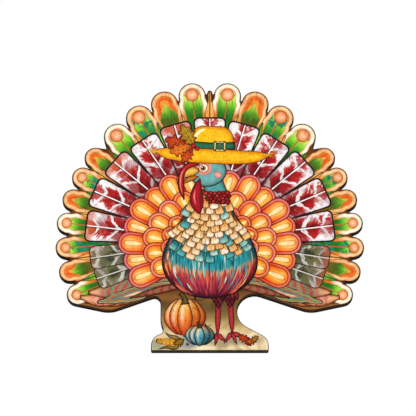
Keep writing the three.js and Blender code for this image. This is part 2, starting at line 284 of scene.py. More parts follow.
def outline_and_lower_shade():
    """The dark line round the picture. Its width swells from a hair where the outline faces up to
    1.6 mm where it faces down, painted shade that darkens the lower edges: it runs between the outline
    moved in by 0.1 mm and by that width more."""
    flat, sides, outward = sheet_outline()
    if (outward * (flat - flat.mean(0))).sum() < 0:
        sides, outward = sides[:, ::-1], -outward
    hair, swell = 0.05, 1.55
    # The extra width where the outline faces down is painted shade along the lower edges
    width = hair + swell * np.clip(-outward[:, 1:], 0, 1) ** 0.7
    outer = flat - 0.1 * outward
    both = np.concatenate([outer, outer - width * outward])
    places = both_sides(both[:, 0], both[:, 1], 6.8)
    step = len(flat)
    a, b = sides.T
    front = np.stack([a, b, b + step, a + step], 1)
    back = front[:, ::-1] + 2 * step
    wall = np.stack([b, a, a + 2 * step, b + 2 * step], 1)
    lining = np.stack([a, b, b + 2 * step, a + 2 * step], 1) + step
    used = np.unique(a)
    faces = np.concatenate([front, back, wall, lining])
    keep = np.concatenate([used + k * step for k in range(4)])
    place_of = np.zeros(4 * step, int)
    place_of[keep] = np.arange(len(keep))
    material, add = new_ink("outline")
    coordinates = add("TexCoord").node.outputs["Object"]
    pooled = add("TexNoise", {"Vector": coordinates, "Scale": 90.0, "Detail": 3.0})
    printed(add, add("ValToRGB", [pooled], stops=[(0.3, "#060303"), (0.7, "#1c0f0b")]))
    ink_piece("outline_and_lower_shade", places[keep], place_of[faces], {}, material)


# Inks: pigment on paper under a satin coat, so strong even colour with a low, wide shine and no gloss

def new_ink(name):
    """An empty material for a print in satin inks, and the function that adds a node to it."""
    return new_material("satin_print_" + name)


def ink_fields(add):
    """The fields that every ink reads: its own place in mm, its sideways and lengthways parts, the
    distance from its outline with a hand's wobble, and its tone."""
    place = add("Attribute", attribute_name="place").node.outputs["Vector"]
    edge = add("Attribute", attribute_name="edge").node.outputs["Fac"]
    tone = add("Attribute", attribute_name="tone").node.outputs["Fac"]
    split = add("SeparateXYZ", [place]).node
    tremor = add("TexNoise", {"Vector": place, "Scale": 0.16, "Detail": 2.0})
    edge = add("Math ADD", [edge, add("Math MULTIPLY_ADD", [tremor, 1.5, -0.75])])
    return place, split.outputs[0], split.outputs[1], edge, tone


def by_edge(add, edge, stops):
    """A colour by the distance from the outline, with its stops in mm."""
    return add("ValToRGB", [add("Math MULTIPLY", [edge, 1 / EDGE_REACH])], span=EDGE_REACH, stops=stops)


def blend(add, value, low, high, stops):
    """A colour that runs softly through its stops as a value goes from low to high."""
    return add("ValToRGB", [add("MapRange", [value, low, high], **SMOOTH)], stops=stops)


def fibres(add, place, across, along, detail, **settings):
    """Noise drawn out along a feather: many streaks to a mm across it, and few along it."""
    stretched = add("VectorMath MULTIPLY", [place, (across, along, 1.0)])
    return add("TexNoise", {"Vector": stretched, "Scale": 1.0, "Detail": detail, **settings})


def washed(add, place, colour, depth=0.5, spot=0.07):
    """Watercolour: the pigment settles unevenly, paler and darker in blooms about 14 mm across."""
    bloom = add("TexNoise",
                {"Vector": place, "Scale": spot, "Detail": 5.0, "Roughness": 0.6, "Distortion": 0.6})
    tint = add("ValToRGB", [bloom], stops=[(0.3, "#b9a79c"), (0.5, "#eee6df"), (0.66, "#ffffff")])
    return coated(add, colour, (depth, coated(add, colour, (1.0, tint, GLAZE))))


def printed(add, colour):
    """A printed sheet under a satin clear coat: the colour with a faint paper tooth of 0.6 mm."""
    coordinates = add("TexCoord").node.outputs["Object"]
    tooth = add("TexNoise", {"Vector": coordinates, "Scale": 1 / (0.6 * MM), "Detail": 2.0})
    bump = add("Bump", {"Strength": 0.12, "Distance": 0.05 * MM, "Height": tooth})
    surface = add("BsdfPrincipled",
                  {"Base Color": colour, "Roughness": 0.5, "Specular IOR Level": 0.08, "Normal": bump})
    add("OutputMaterial", [surface])


# The dark brown of drawn lines
INK_LINE = "#200d0a"


def eye_feather_ink():
    """Tail feather tips: a cream border, an apricot eye, lime lobes at its sides and a brown shaft. The
    lobes' round top and the eye's middle are that many mm from the root."""
    lobe_top, eye_h, eye_reach = 119, 127.0, 16.0
    material, add = new_ink("tail_feather")
    place, x, s, edge, tone = ink_fields(add)
    cream = by_edge(add, edge, [(0, "#6b4a34"), (0.5, "#b8926a"), (1.1, "#f6dcb2"), (3.0, "#fffaea"),
                                (6.6, "#fff1d2"), (7.8, "#fbdcae"), (8.4, "#b4642f"), (9.4, "#f8c193"),
                                (20, "#f7a467")])
    peach = by_edge(add, edge, [(0, "#6b3a20"), (0.5, "#b06a38"), (1.1, "#f0a45c"), (3.4, "#fddcae"),
                                (6.6, "#fbcb92"), (7.8, "#f7b06a"), (8.4, "#b4642f"), (9.4, "#f29a5c"),
                                (20, "#ee8a44")])
    warm = add("MapRange", [tone, 0.5, 0.62], **SMOOTH)
    rear = blend(add, s, 40, 122, [(0, "#8c3a14"), (0.35, "#d9701f"), (0.8, "#f39a45"), (1, "#fbc58c")])
    border = coated(add, cream, (warm, peach))
    rear = coated(add, INK_LINE, (add("MapRange", [edge, 1.2, 2.4], **SMOOTH), rear))
    strand = fibres(add, place, 0.5, 0.04, 3.0)
    blot = add("TexNoise", {"Vector": place, "Scale": 0.09, "Detail": 2.0})
    web = blend(add, s, 80, 126, [(0, "#27731d"), (0.3, "#46a023"), (0.62, "#86d236"), (1, "#cdf268")])
    cool = add("Math MULTIPLY", [add("MapRange", [blot, 0.46, 0.6], **SMOOTH), warm])
    lobe = add("Math POWER", [add("Math MULTIPLY", [x, 0.24]), 2.0])
    lobe = add("Math SUBTRACT", [s, lobe])
    lobe = add("Math MULTIPLY_ADD", [strand, 5.0, lobe])
    inside = add("MapRange", [edge, 8.8, 9.8], **SMOOTH)
    low = add("MapRange", [lobe, lobe_top + 0.5, lobe_top - 0.5], **SMOOTH)
    line = add("MapRange", [lobe, lobe_top - 2.5, lobe_top - 1.5], **SMOOTH)
    line = add("Math MULTIPLY", [line, low])
    web = coated(add, web, (cool, "#1d8a6a"),
                 (0.55, add("ValToRGB", [strand], stops=[(0.34, "#4f8a2c"), (0.48, "#ffffff")]), GLAZE))
    rib = add("MapRange", [add("Math ABSOLUTE", [x]), 1.6, 0.8], **SMOOTH)
    rib = add("Math MULTIPLY", [rib, add("MapRange", [s, 118, 116], **SMOOTH)])
    gap = add("VectorMath DISTANCE", [add("CombineXYZ", [x, s, 0.0]), (0.0, eye_h, 0.0)])
    gap = gap.node.outputs[1]
    ball = add("ValToRGB", [add("Math MULTIPLY", [gap, 1 / eye_reach])], span=eye_reach,
               stops=[(0, "#fddcb4"), (7.0, "#f9ae7c"), (11.0, "#f08a4c"), (12.2, "#a84f24"),
                      (13.2, "#a84f24")])
    angle = add("Math ARCTAN2", [x, add("Math SUBTRACT", [s, 116.0])])
    vein = add("Math COSINE", [add("Math MULTIPLY", [angle, 9.0])])
    vein = add("Math MULTIPLY", [add("MapRange", [vein, 0.9, 1.0], **SMOOTH), 0.6])
    mask = add("MapRange", [gap, 13.8, 12.8], **SMOOTH)
    ball = coated(add, ball, (vein, "#d9652e"))
    colour = coated(add, rear, (add("MapRange", [s, 84, 104], **SMOOTH), border),
                    (add("Math MULTIPLY", [inside, low]), web),
                    (add("Math MULTIPLY", [inside, line]), "#24561a"), (rib, "#c2622f"), (mask, ball))
    printed(add, washed(add, place, colour, 0.6))
    return material


def flame_feather_ink():
    """Tail feathers between them: a peach border round an orange flame over a lime heart."""
    material, add = new_ink("flame_feather")
    place, x, s, edge, _ = ink_fields(add)
    bands = by_edge(add, edge, [(0, "#6b3a20"), (0.6, "#b06a38"), (1.3, "#f6b26a"), (4, "#fddcae"),
                                (7.6, "#fac07c"), (8.4, "#b8501c"), (9.2, "#f58a36"), (15, "#ea5f1d"),
                                (17, "#f4a13c")])
    streak = fibres(add, place, 0.5, 0.05, 3.0)
    cone = add("Math MULTIPLY_ADD", [add("Math ABSOLUTE", [x]), 1.5, s])
    cone = add("Math MULTIPLY_ADD", [streak, 24.0, cone])
    heart = blend(add, s, 84, 132, [(0, "#2c6e1e"), (0.4, "#62ad2c"), (0.75, "#a9d84a"), (1, "#d5ec72")])
    low = add("Math SUBTRACT", [1.0, add("MapRange", [cone, 134, 140], **SMOOTH)])
    low = add("Math MULTIPLY", [low, add("MapRange", [edge, 8.6, 9.4], **SMOOTH)])
    dark = add("ValToRGB", [streak], stops=[(0.35, "#b5501c"), (0.5, "#ffe2b0"), (0.7, "#ffffff")])
    rear = add("MapRange", [s, 30, 105], **SMOOTH)
    colour = coated(add, bands, (low, heart), (0.5, dark, GLAZE))
    colour = coated(add, coated(add, INK_LINE, (add("MapRange", [edge, 1.0, 2.2], **SMOOTH), "#9c4716")),
                    (rear, colour))
    printed(add, washed(add, place, colour, 0.6))
    return material


def wing_ink(name, pale, blush, web, deep, shade, tip, dark_share):
    """Wing feathers: a pale web with a dark heart along the shaft, torn along the barbs, which lean
    toward the tip and lie about 3 mm apart, drawn that coarse to show, with broken pale bars across it.
    dark_share moves the line between heart and web outward, in mm."""
    barb_lean, bar_pitch = 0.8, 37
    heart_start, heart_end = 36.0 - dark_share, 76.0 - dark_share
    material, add = new_ink(name)
    place, x, s, edge, tone = ink_fields(add)
    side = add("Math ABSOLUTE", [x])
    barb = add("Math MULTIPLY_ADD", [side, -barb_lean, s])
    seed = add("Math MULTIPLY", [tone, 100.0])
    fringe = add("CombineXYZ",
                 [add("Math MULTIPLY", [barb, 0.42]), add("Math MULTIPLY", [x, 0.03]), seed])
    torn = add("TexNoise", {"Vector": fringe, "Scale": 1.0, "Detail": 4.0, "Roughness": 0.7})
    blot = add("TexNoise", {"Vector": place, "Scale": 0.045, "Detail": 3.0, "Distortion": 1.0})
    cloud = add("TexNoise", {"Vector": place, "Scale": 0.035, "Detail": 4.0, "Roughness": 0.6})
    level = add("Math SUBTRACT", [add("MapRange", [s, 50.0, 150.0, 36.0, 10.0]), side])
    level = add("Math MULTIPLY_ADD", [torn, 46.0, level])
    level = add("Math MULTIPLY_ADD", [blot, 56.0, level])
    level = add("MapRange", [level, heart_start, heart_end])
    heart = add("ValToRGB", [level], stops=[(0.26, pale), (0.33, blush[0]), (0.39, blush[1]), (0.46, web),
                                            (0.75, web), (1, deep)])
    rosy = add("ValToRGB", [level],
               stops=[(0.2, pale), (0.34, blush[0]), (0.5, blush[1]), (0.85, blush[1]), (1, web)])
    faded = add("MapRange", [cloud, 0.5, 0.6], **SMOOTH)
    wave = add("Math MULTIPLY_ADD", [blot, 26.0, barb])
    wave = add("Math MULTIPLY_ADD", [torn, 14.0, wave])
    wave = add("Math COSINE", [add("Math MULTIPLY", [wave, math.tau / bar_pitch])])
    bar = add("Math MULTIPLY", [add("MapRange", [wave, 0.78, 0.9], **SMOOTH), 0.9])
    grey = add("Math MULTIPLY", [add("MapRange", [cloud, 0.5, 0.66], **SMOOTH), 0.55])
    lines = add("ValToRGB", [torn], stops=[(0.3, shade), (0.4, "#ffffff")])
    hem = add("MapRange", [edge, 9, 3, 0.0, 0.22], **SMOOTH)
    low = add("MapRange", [s, 112, 60, 0.0, 0.6], **SMOOTH)
    cap = add("Math MULTIPLY_ADD", [blot, 24.0, s])
    cap = add("Math MULTIPLY", [add("MapRange", [cap, 146, 156, 0.0, 0.7], **SMOOTH),
                                add("MapRange", [tone, 0.45, 0.6], **SMOOTH)])
    shaft = add("MapRange", [side, 1.5, 0.7], **SMOOTH)
    vein = add("Math ABSOLUTE", [add("Math ADD", [x, 2.1])])
    vein = add("MapRange", [vein, 1.2, 0.4], **SMOOTH)
    colour = coated(add, heart, (faded, rosy), (bar, pale), (grey, shade, GLAZE), (0.75, lines, GLAZE),
                    (hem, shade), (low, deep), (cap, tip), (shaft, pale), (vein, INK_LINE))
    colour = coated(add, INK_LINE, (add("MapRange", [edge, 1.3, 2.5], **SMOOTH), colour))
    printed(add, washed(add, place, colour, 0.45))
    return material


def petal_ink(name, length, half, border, border_line, fill, heart):
    """Round feathers about the breast: a rosy rim, a red line, a warm fill that deepens to the root, fine
    veins that spread from the root, and a pale drop in the middle with a thin line round it."""
    veins, drop_h = 44.0, 0.7 * length
    material, add = new_ink(name)
    place, x, s, edge, tone = ink_fields(add)
    bands = by_edge(add, edge, [(0, "#1e0a09"), (1.0, "#3a1412"), (1.8, border[0]), (4.0, border[1]),
                                (6.0, border[0]), (6.5, border_line), (7.3, border_line), (8.1, fill[0]),
                                (12.0, fill[1]), (16.0, heart)])
    warm = blend(add, s, 0.2 * length, 0.9 * length,
                 [(0, "#c9481a"), (0.4, "#f08c46"), (0.7, "#ffdca0"), (1, "#ffffff")])
    hue = add("ValToRGB", [tone],
              stops=[(0, "#ffdccf"), (0.4, "#ffffff"), (0.7, "#fff0b8"), (1, "#ffd9a8")])
    angle = add("Math ARCTAN2", [x, s])
    vein = add("Math COSINE", [add("Math MULTIPLY", [angle, veins])])
    vein = add("Math MULTIPLY", [add("MapRange", [vein, 0.93, 1.0], **SMOOTH),
                                 add("MapRange", [edge, 8.0, 10.0, 0.0, 0.6], **SMOOTH)])
    drop = add("VectorMath SUBTRACT", [add("CombineXYZ", [x, s, 0.0]), (0.0, drop_h, 0.0)])
    wide = add("MapRange", [s, 0.5 * length, 0.85 * length, 6.0 / half, 1.0 / (0.3 * half)])
    drop = add("VectorMath LENGTH",
               [add("VectorMath MULTIPLY",
                    [drop, add("CombineXYZ", [wide, 1 / (0.19 * length), 0.0])])]).node.outputs[1]
    pale = add("ValToRGB", [drop], stops=[(0, "#fff2bc"), (0.9, heart)])
    colour = coated(add, bands, (0.92, warm, GLAZE), (1.0, hue, GLAZE), (vein, "#d9602a"),
                    (add("MapRange", [drop, 1.12, 1.0, 0.0, 0.85], **SMOOTH), "#dd6a28"),
                    (add("MapRange", [drop, 0.92, 0.82], **SMOOTH), pale))
    printed(add, washed(add, place, colour, 0.5, 0.1))
    return material


def spear_ink():
    """Narrow blades in the gaps of the fan: brown at the root, orange, then lime at the tip."""
    material, add = new_ink("blade")
    place, x, s, edge, tone = ink_fields(add)
    lime = blend(add, s, 10, 160, [(0, "#4a160c"), (0.3, "#8c3512"), (0.5, "#b98a1f"), (0.66, "#7fae2a"),
                                   (0.85, "#9fdc45"), (1, "#5aa82c")])
    rust = blend(add, s, 10, 160,
                 [(0, "#2a0d0a"), (0.35, "#6d1d10"), (0.6, "#c8501c"), (0.8, "#f08a32"), (1, "#f6b35a")])
    side = add("Math ABSOLUTE", [x])
    colour = coated(add, lime, (add("MapRange", [tone, 0.45, 0.55], **SMOOTH), rust),
                    (add("Math SUBTRACT", [1.0, add("MapRange", [side, 0.6, 1.5], **SMOOTH)]), "#4a2a12"))
    colour = coated(add, INK_LINE, (add("MapRange", [edge, 0.5, 1.3], **SMOOTH), colour))
    printed(add, washed(add, place, colour, 0.6))
    return material


def wash_ink(name, stops, edge_stops, depth=0.4, spot=0.09):
    """A plain watercolour ink: its colour by tone, darker toward the outline."""
    material, add = new_ink(name)
    place, _, _, edge, tone = ink_fields(add)
    colour = add("ValToRGB", [tone], stops=stops)
    colour = coated(add, colour, (1.0, by_edge(add, edge, edge_stops), GLAZE))
    printed(add, washed(add, place, colour, depth, spot))
    return material


def rib_ink(name, top, middle, bottom, blush, deep):
    """A pumpkin's rib: round, so bright along its left and dark in the fold at its right, with a blush
    that runs down from the stalk in streaks. Tone darkens a rib that turns away from the light."""
    material, add = new_ink(name)
    place, _, s, edge, tone = ink_fields(add)
    across = add("Attribute", attribute_name="side").node.outputs["Fac"]
    colour = blend(add, s, -32, 32, [(0, bottom), (0.45, middle), (1, top)])
    run = fibres(add, place, 0.16, 0.05, 4.0)
    drip = add("Math MULTIPLY_ADD", [run, 60.0, s])
    bloom = add("TexNoise", {"Vector": place, "Scale": 0.09, "Detail": 3.0})
    turned = add("Math MULTIPLY_ADD", [run, 0.5, across])
    dark = add("Math MULTIPLY", [add("MapRange", [turned, 0.55, 1.2], **SMOOTH), 0.7])
    shine = add("Math ABSOLUTE", [add("Math ADD", [turned, 0.1])])
    shine = add("Math SUBTRACT", [1.0, add("MapRange", [shine, 0.0, 0.4], **SMOOTH)])
    shine = add("Math MULTIPLY",
                [shine, add("MapRange", [add("Math MULTIPLY_ADD", [run, 40.0, s]), -6, 30], **SMOOTH)])
    fold = by_edge(add, edge,
                   [(0, "#180c0a"), (0.9, "#2e1a14"), (1.7, "#c89880"), (3.4, "#efdccc"), (6, "#ffffff")])
    away = add("ValToRGB", [tone], stops=[(0, "#ffffff"), (1, "#c8aca2")])
    colour = coated(add, colour,
                    (add("Math MULTIPLY", [add("MapRange", [drip, 34, 58], **SMOOTH), 0.75]), blush),
                    (add("Math MULTIPLY", [add("MapRange", [bloom, 0.52, 0.66], **SMOOTH), 0.55]), deep),
                    (dark, deep), (add("Math MULTIPLY", [shine, 0.6]), "#fff1d2"), (1.0, fold, GLAZE),
                    (1.0, away, GLAZE))
    printed(add, washed(add, place, colour, 0.5, 0.12))
    return material


def straw_ink():
    """Golden plaited straw: bands about 3.5 mm wide, each crossed by slanting blades."""
    band = 3.5
    material, add = new_ink("straw")
    place, _, s, edge, _ = ink_fields(add)
    sway = add("TexNoise", {"Vector": place, "Scale": 0.05, "Detail": 2.0})
    row = add("Math MULTIPLY", [add("Math MULTIPLY_ADD", [sway, 9.0, s]), math.tau / band])
    plait = add("Math COSINE", [row])
    slant = fibres(add, place, 0.5, 0.12, 4.0)
    colour = add("ValToRGB", [slant],
                 stops=[(0.28, "#dc9a0c"), (0.42, "#fbbf14"), (0.58, "#ffcf1c"), (0.72, "#ffe45a")])
    dark = add("ValToRGB", [plait], stops=[(0.0, "#ffffff"), (0.7, "#ffffff"), (1.0, "#d9a23a")])
    shade = by_edge(add, edge,
                    [(0, "#4a2c10"), (1.2, "#7a4d16"), (2.0, "#e0b256"), (6, "#f8e2a8"), (11, "#ffffff")])
    colour = coated(add, colour, (0.6, dark, GLAZE), (1.0, shade, GLAZE))
    printed(add, washed(add, place, colour, 0.45))
    return material


def breast_ink():
    """The round of the breast: teal in ragged strokes, then rose and wine toward the belly."""
    material, add = new_ink("breast")
    place, x, s, edge, _ = ink_fields(add)
    strokes = fibres(add, place, 0.22, 0.025, 4.0, Roughness=0.75)
    level = add("Math MULTIPLY_ADD", [strokes, 46.0, s])
    side = add("Math MULTIPLY", [x, x])
    level = add("Math MULTIPLY_ADD", [side, -0.0032, level])
    colour = blend(add, level, -100, 60,
                   [(0, "#7a2348"), (0.1, "#b3304a"), (0.2, "#dc5146"), (0.28, "#e8a070"),
                    (0.34, "#3aa0a4"), (0.5, "#12909f"), (0.66, "#45c4c4"), (0.8, "#1d8f9c"),
                    (1, "#e6b45a")])
    dark = add("ValToRGB", [strokes], stops=[(0.34, "#123c54"), (0.47, "#d8e6e4"), (0.6, "#ffffff")])
    shade = by_edge(add, edge, [(0, "#0c0a18"), (1.8, "#15101f"), (3.4, "#8c5a6a"), (14, "#e6ccc6"),
                                (30, "#ffffff")])
    colour = coated(add, colour, (0.75, dark, GLAZE), (1.0, shade, GLAZE))
    printed(add, washed(add, place, colour, 0.4))
    return material


# Painted shadows on the stand, pools of wash below what lies on it: x, h, half width, half height, colour
STAND_SHADOWS = ((-44, -207, 58, 17, "#6d8796"), (66, -204, 46, 13, "#8a7a62"), (18, -209, 34, 11, "#a08a66"),
         (-108, -214, 22, 16, "#7d8f70"))


def ground_ink():
    """The printed ground between the motifs: russet streaks in the fan, and on the stand a straw wash
    with blue-grey pools of painted shadow where the pumpkins lie."""
    material, add = new_ink("ground")
    coordinates = add("TexCoord").node.outputs["Object"]
    local = add("VectorMath SUBTRACT", [coordinates, (0, 0, FAN_MIDDLE)])
    split = add("SeparateXYZ", [add("VectorMath MULTIPLY", [local, (1 / MM,) * 3])]).node
    x, h = split.outputs[0], split.outputs[2]
    angle = add("Math ARCTAN2", [x, h])
    reach = add("VectorMath LENGTH", [add("CombineXYZ", [x, h, 0.0])]).node.outputs[1]
    ray = add("CombineXYZ",
              [add("Math MULTIPLY", [angle, 22.0]), add("Math MULTIPLY", [reach, 0.012]), 0.0])
    streak = add("TexNoise", {"Vector": ray, "Scale": 1.0, "Detail": 4.0})
    fan = blend(add, reach, 90, 300,
                [(0, "#2a0d09"), (0.3, "#5a200d"), (0.55, "#8f4016"), (0.8, "#a85a24"), (1, "#4a2812")])
    flow = add("TexNoise", {"Vector": coordinates, "Scale": 22.0, "Detail": 6.0, "Distortion": 1.0})
    straw = add("ValToRGB", [flow],
                stops=[(0.3, "#a89a7c"), (0.45, "#d6c4a0"), (0.56, "#ecdcb8"), (0.7, "#f7ecd4")])
    shade = blend(add, h, -206, -122,
                  [(0, "#fff8ea"), (0.3, "#d8c69e"), (0.6, "#a08a5c"), (1, "#6f5a38")])
    straw = coated(add, straw, (1.0, shade, GLAZE))
    # Each pool is a painted shadow laid over the straw wash
    for shadow_x, shadow_h, half_x, half_h, colour in STAND_SHADOWS:
        off = add("CombineXYZ", [add("Math ADD", [x, -shadow_x]), add("Math ADD", [h, -shadow_h]), 0.0])
        off = add("VectorMath MULTIPLY", [off, (1 / half_x, 1 / half_h, 0)])
        off = add("VectorMath LENGTH", [off]).node.outputs[1]
        off = add("Math MULTIPLY_ADD", [flow, 0.9, off])
        share = add("Math SUBTRACT", [1.0, add("MapRange", [off, 0.8, 1.5], **SMOOTH)])
        straw = coated(add, straw, (add("Math MULTIPLY", [share, 0.75]), colour))
    low = add("Math SUBTRACT", [1.0, add("MapRange", [h, -132, -116], **SMOOTH)])
    wide = add("Math ABSOLUTE", [x])
    low = add("Math MULTIPLY",
              [low, add("MapRange", [add("Math MULTIPLY", [wide, -1.0]), -140, -118], **SMOOTH)])
    fan = coated(add, fan,
                 (0.6, add("ValToRGB", [streak], stops=[(0.35, "#6f4a22"), (0.6, "#ffffff")]), GLAZE),
                 (add("MapRange", [h, -88, -122, 0.0, 0.75], **SMOOTH), "#94602c"))
    printed(add, coated(add, fan, (low, straw)))
    return material


# The fan

# Tail feathers: the longest length, half the width at the root and the swell of the sides, all in mm, and
# which of them are flames, counted outward from the crest
TAIL_LENGTH = 150.0
TAIL_ROOT = 16.0
TAIL_FLARE = 5.0
FLAME_RANKS = (1, 4, 6, 9)


def fan_tips():
    """Every feather tip of the outline from left to right: x, h, radius and turn. On each side the tips
    of a group lie a pitch apart, with the radius that nearly fills it. The fan is then stretched until
    its widest and highest tips reach the board's sides and top."""
    groups = []
    for count, first, last in TIP_GROUPS:
        pitch = math.radians(last - first) / (count - 1)
        share = TIP_FULLNESS * math.sin(pitch / 2)
        radius = share * FAN_HALF / (1 + share)
        turn = math.radians(first) + np.arange(count) * pitch
        draw = 1 - DRAW_IN * np.sin(2 * turn) ** 2
        groups.append(np.stack([(FAN_HALF - radius) * draw * np.sin(turn),
                                (CROWN - radius) * draw * np.cos(turn), radius + 0 * turn]))
    x, h, radius = np.concatenate(groups, 1)
    widest = x.argmax()
    x = x * (FAN_HALF - radius[widest]) / x[widest]
    h = h * (CROWN - radius[0]) / h[0]
    x, h, radius = np.append(-x[::-1], x), np.append(h[::-1], h), np.append(radius[::-1], radius)
    return x, h, radius, np.degrees(np.arctan2(x, h))


def tail_shape(length, half, root, flare):
    """A tail feather: half round at its tip. From 4 mm behind the half round its sides swell by the flare
    within 14 mm, so that neighbours overlap, and from there they narrow straight to the root."""
    start = length - half

    def half_width(t):
        s = length * t
        step = np.clip((s - start + 18) / 14, 0, 1)
        rear = root + (half + flare - root) * s / start - flare * step ** 2 * (3 - 2 * step)
        tip = np.sqrt(np.clip(half ** 2 - (s - start) ** 2, 0.04, None))
        return np.where(s < start, rear, tip)
    return upright(half_width, 0, length - 0.02, rows=40, columns=13)


def tail_feathers():
    """Each feather ends in an arc that runs inside the board's tip, over or under its neighbours in
    turn. The tips at the sides are smaller copies of the top ones."""
    x, h, radius, turns = fan_tips()
    arc = radius - PRINT_MARGIN
    patch = tail_shape(TAIL_LENGTH, arc.max(), TAIL_ROOT, TAIL_FLARE)
    kinds = {"eye_feathers": (eye_feather_ink(), 2.4, []), "flame_feathers": (flame_feather_ink(), 1, [])}
    for i, turn in enumerate(turns):
        rank = i - len(x) // 2 if turn > 0 else len(x) // 2 - 1 - i
        size = arc[i] / arc.max()
        back_x, back_h = on_ray(turn, (TAIL_LENGTH - arc.max()) * size)
        _, lift, stamps = kinds["flame_feathers" if rank in FLAME_RANKS else "eye_feathers"]
        tone = random.uniform(0.05, 0.45) if (rank + 1) % 3 else random.uniform(0.7, 0.95)
        stamps.append(stamp(patch, x[i] - back_x, h[i] - back_h, turn, size,
                            lift=lift + 1.2 * (rank % 2), tone=tone))
    for name, (material, _, stamps) in kinds.items():
        ink(name, stamps, material)


def on_ray(turn, reach):
    """A point of the picture at a turn from straight up and a reach from the fan's middle."""
    angle = math.radians(turn)
    return reach * math.sin(angle), reach * math.cos(angle)


def blades():
    """Narrow pointed blades in the gaps between the tail feathers, their width a sine wave's hump from
    root to tip, and one along a straight line that rises to the crest."""
    patch = upright(lambda t: 1.5 + 9.5 * np.sin(np.pi * np.clip(t, 0, 1) ** 1.2) ** 0.8, 0, 164, rows=24,
                    columns=7)
    turns = fan_tips()[3]
    stamps = []
    for i, turn in enumerate((turns[1:] + turns[:-1]) / 2):
        root_x, root_h = on_ray(turn, 100)
        stamps.append(stamp(patch, root_x, root_h, turn, lift=5, tone=0.2 + 0.6 * (i % 2)))
    crest = strip([(0, 232), (0, 257), (0, 281), (0, 296), (0, 307.2)], [5, 17, 15, 6.8, 6.4, 4.2], 30, 9)
    stamps.append(stamp(crest, lift=5.5, tone=0.8))
    ink("gap_blades", stamps, spear_ink())


def squared(half, root, length, corner, rows, columns):
    """A feather with a squared tip: a nearly straight taper that ends in a quarter round."""
    def half_width(t):
        s = length * t
        side = root + (half - root) * np.clip(s / length, 0, 1) ** 0.9
        near = np.clip((s - (length - corner)) / corner, 0, 1)
        return side - corner + corner * np.sqrt(np.clip(1 - near ** 2, 0, 1))
    return upright(half_width, 0, length, rows, columns)


def wing_feathers():
    """The ring of big squared feathers, crimson over the fan and olive at its lower ends. A dark one a
    little larger lies under each crimson one as painted shadow, so that a gap between two of them is
    dark."""
    crimson = wing_ink("crimson_feather", "#ffffff", ("#ecc4c4", "#d0706a"), "#b01c20", "#6a0f14",
                       "#98748a", "#cf6440", 2)
    olive = wing_ink("olive_feather", "#d8d2c8", ("#b9ac9c", "#8e8464"), "#66683f", "#33382c", "#6f5f68",
                     "#a8503c", 4)
    patch = squared(32.5, 17, 154, 12, 44, 15)
    under = squared(34, 18.5, 155.5, 13, 44, 15)
    stamps, shadow_copies = [], []
    for turn in np.linspace(-83, 83, 11):
        root_x, root_h = on_ray(turn, 95 + 3 * math.cos(math.radians(6 * turn)))
        stamps.append(stamp(patch, root_x, root_h, turn, lift=8, roll=0.5 * np.sign(turn)))
        shadow_copies.append(stamp(under, root_x, root_h, turn, lift=7.4, roll=0.5 * np.sign(turn)))
    ink("crimson_feathers", stamps, crimson)
    # The dark copies under the crimson feathers are painted shadow in the gaps between them
    ink("feather_shadows", shadow_copies,
        wash_ink("gap", [(0, "#1a0907"), (1, "#2a0f0a")], [(0, "#ffffff"), (1, "#ffffff")], 0.3))
    narrow = squared(25, 15, 150, 14, 40, 13)
    stamps = []
    for side in (-1, 1):
        for turn, reach, lift in ((99, 90, 6.6), (109.5, 88, 6)):
            root_x, root_h = on_ray(side * turn, reach)
            stamps.append(stamp(narrow, root_x, root_h, side * turn, lift=lift, roll=0.4 * side))
    ink("olive_feathers", stamps, olive)


# Feathers under the fan: the line that each follows on the right side and its widths along it, in mm, and
# its layer and tone
UNDER_FEATHERS = (
    ([(98, -101), (140, -114.5), (186, -129), (246, -127)], [5, 13.5, 13, 3], 5.2, 0.95),
    ([(128, -104), (176, -117), (216, -122), (256, -116)], [6, 20, 27, 9], 5.4, 0.5),
    ([(70, -80), (122, -90), (176, -102), (240, -107)], [14, 34, 44, 7], 5.6, 0.75),
    ([(64, -88), (106, -98), (158, -112), (222, -127)], [14, 24, 29, 6], 6.2, 0.2),
    ([(58, -92), (84, -98), (116, -106), (158, -118)], [12, 16, 15, 3], 6.8, 0.6))


